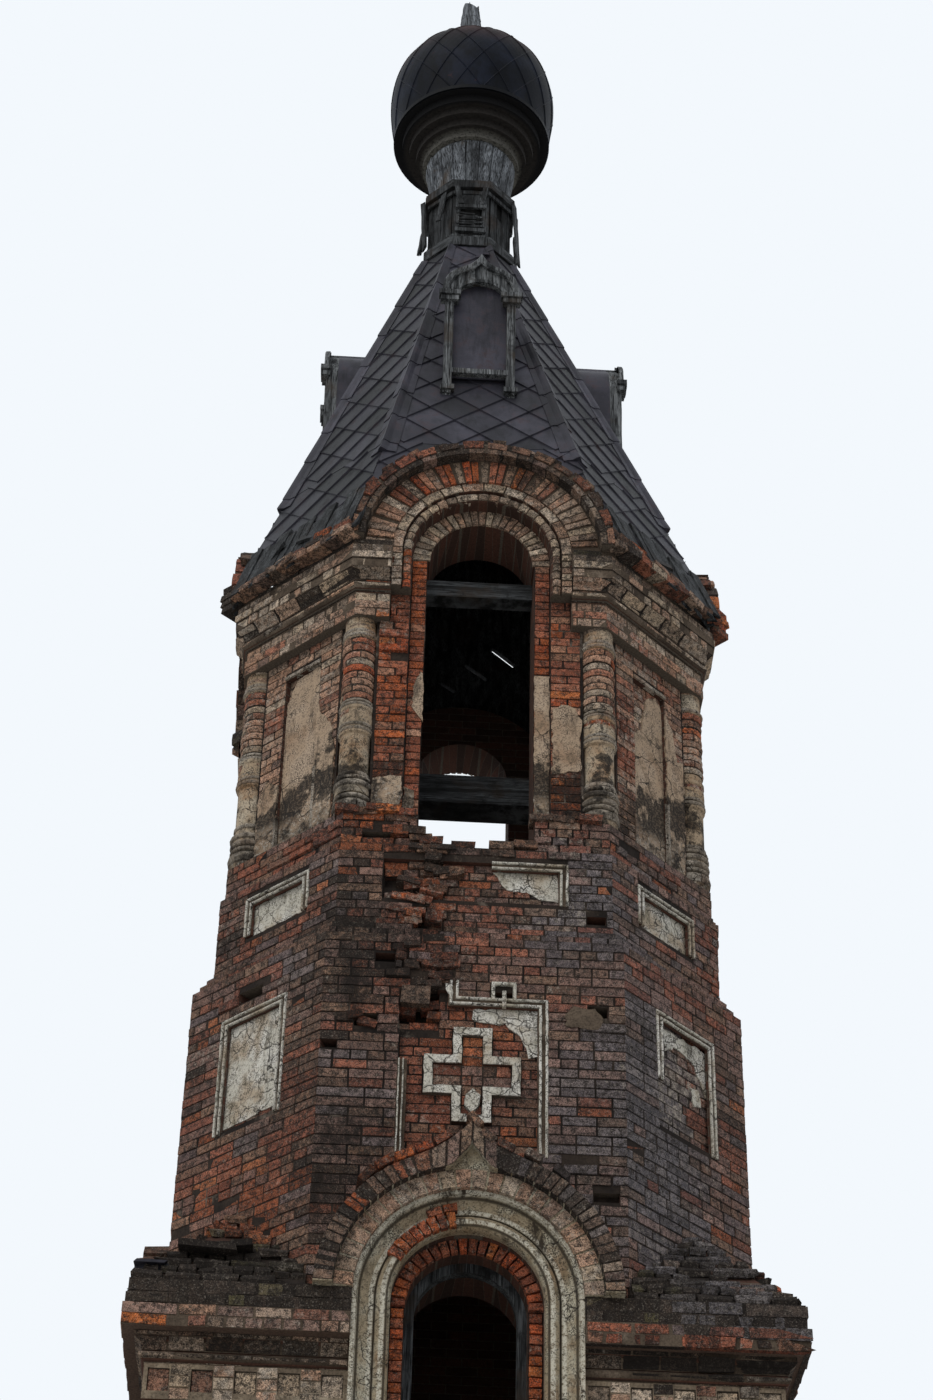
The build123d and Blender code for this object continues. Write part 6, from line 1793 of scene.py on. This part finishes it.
def makeDormerTrim():
    heap = Heap(31)
    d = dormer
    centre = Vector((d["shift"], 0, 0))
    for turn in cardinals:
        out, along = compass(turn)
        offset = centre.dot(along)
        face = {"out": out, "along": along, "reach": d["front"] + centre.dot(out)}
        for side in (-1, 1):
            x = offset + side * (d["half"] - d["post"] / 2)
            foot, head = spot(face, x, 0.012, d["foot"] + 0.02), spot(face, x, 0.012, d["spring"] - 0.02)
            for strip, wide in d["strips"]:
                board(heap, foot + along * strip, head + along * (strip + heap.dice.uniform(-0.004, 0.004)),
                      wide, 0.026, out, shade=0.15, splits=0.02)
            for z, wide, proud in ((d["spring"] - 0.03, 0.17, 0.05), (d["spring"] + 0.035, 0.21, 0.065),
                                   (d["foot"] + 0.07, 0.13, 0.035)):
                board(heap, spot(face, x - wide / 2, proud / 2, z), spot(face, x + wide / 2, proud / 2, z),
                      0.055, proud + 0.03, out, shade=0.2)
        board(heap, spot(face, offset - d["railHalf"], 0.0, d["rail"]),
              spot(face, offset + d["railHalf"], 0.0, d["rail"] - 0.005), 0.06, 0.06, out, shade=0.1)
        line = keelOutline(d["half"] + 0.02, d["spring"] + 0.06, d["peak"] + 0.01)
        path = [(offset + x, z) for x, z in line] + [(offset - x, z) for x, z in reversed(line[:-1])]
        layStrip(heap, face, path, d["hood"], 0.0, rag=0.0015)
        radius = d["half"] - d["post"] + 0.012
        angles = [math.radians(t) for t in range(0, 181, 15)]
        inner = [(offset + radius * math.cos(a), d["spring"] + radius * math.sin(a)) for a in angles]
        layStrip(heap, face, inner, d["bead"], 0.0, rag=0.0015)
    heap.make("dormerTrim", dormerUpright, "timber")


# Eaves: boards under the sheets, some broken off, and longer ones that hang torn (start, end, width)
eaves = {"arch": 1.16, "torn": [
    ((1.86, -1.42, 17.05), (1.45, -1.15, 18.0), 0.12), ((2.08, -1.20, 17.00), (1.62, -0.95, 18.1), 0.10),
    ((2.14, -1.02, 17.02), (1.86, -1.30, 17.5), 0.09), ((1.75, -1.62, 17.08), (1.60, -1.28, 17.6), 0.08),
    ((1.98, -1.36, 16.98), (1.70, -1.30, 17.6), 0.07), ((1.20, -2.02, 17.22), (1.72, -1.50, 17.42), 0.08),
    ((-2.16, -1.12, 17.02), (-1.52, -0.98, 18.3), 0.09), ((-2.02, -1.38, 17.06), (-1.40, -1.14, 18.2), 0.07),
    ((-1.80, -1.62, 17.12), (-1.30, -1.42, 17.9), 0.08), ((-1.48, -1.86, 17.16), (-1.20, -1.56, 17.9), 0.07),
    ((-2.16, -0.98, 17.05), (-1.75, -1.50, 17.48), 0.07),
    ((-1.24, -2.02, 17.26), (-1.62, -1.62, 17.40), 0.07)]}


def makeEaveBoards():
    heap = Heap(32)
    dice = heap.dice
    feet, heads = pairs(octagonCorners(roof[0])), pairs(octagonCorners(roof[1]))
    for i, ((p0, p1), (q0, q1)) in enumerate(zip(feet, heads)):
        length = (p1 - p0).length
        u = (p1 - p0) / length
        v = ((q0 + q1) / 2 - (p0 + p1) / 2).normalized()
        n = u.cross(v)
        broken = i in (1, 7)
        x = 0.03
        while x < length - 0.03:
            wide = dice.uniform(0.08, 0.16)
            middle = p0 + u * (x + wide / 2)
            inArch = i % 2 == 0 and abs(x + wide / 2 - length / 2) < eaves["arch"]
            if not inArch and not (broken and dice.random() < 0.12):
                drop = dice.uniform(-0.05, 0.05) if broken else dice.uniform(-0.02, 0.05)
                rise = dice.uniform(0.5, 0.75) if broken else 0.5
                lift = dice.uniform(0.005, 0.03) if broken else -0.03
                board(heap, middle - v * drop + n * lift, middle + v * rise + n * lift, wide - 0.012, 0.024,
                      n, shade=0.45, splits=0.02)
            x += wide
    for start, end, wide in eaves["torn"]:
        board(heap, start, end, wide, 0.024, (start[0], start[1], 1.2), shade=0.35, warp=0.01, splits=0.04)
    board(heap, (0.78, -1.93, 18.02), (1.13, -1.98, 17.30), 0.14, 0.022, (0.6, -1, 0.6), shade=-0.2,
          warp=0.006, splits=0.03)
    heap.make("eaveBoards", darkUpright, "timber")


makePanelPlaster()
makeBellPlaster()
makeLooseBricks()
makeCornerSteps()
print("plaster and loose bricks")
makeTentSheets()
makeHipCovers()
makeCornerSheet()
makeEaveBoards()
makeDormerTrim()
print("tent roof")
makeLanternBoards()
makeDrumPlanks()
makeDomeSheets()
makePostSplinters()
print("lantern and dome")
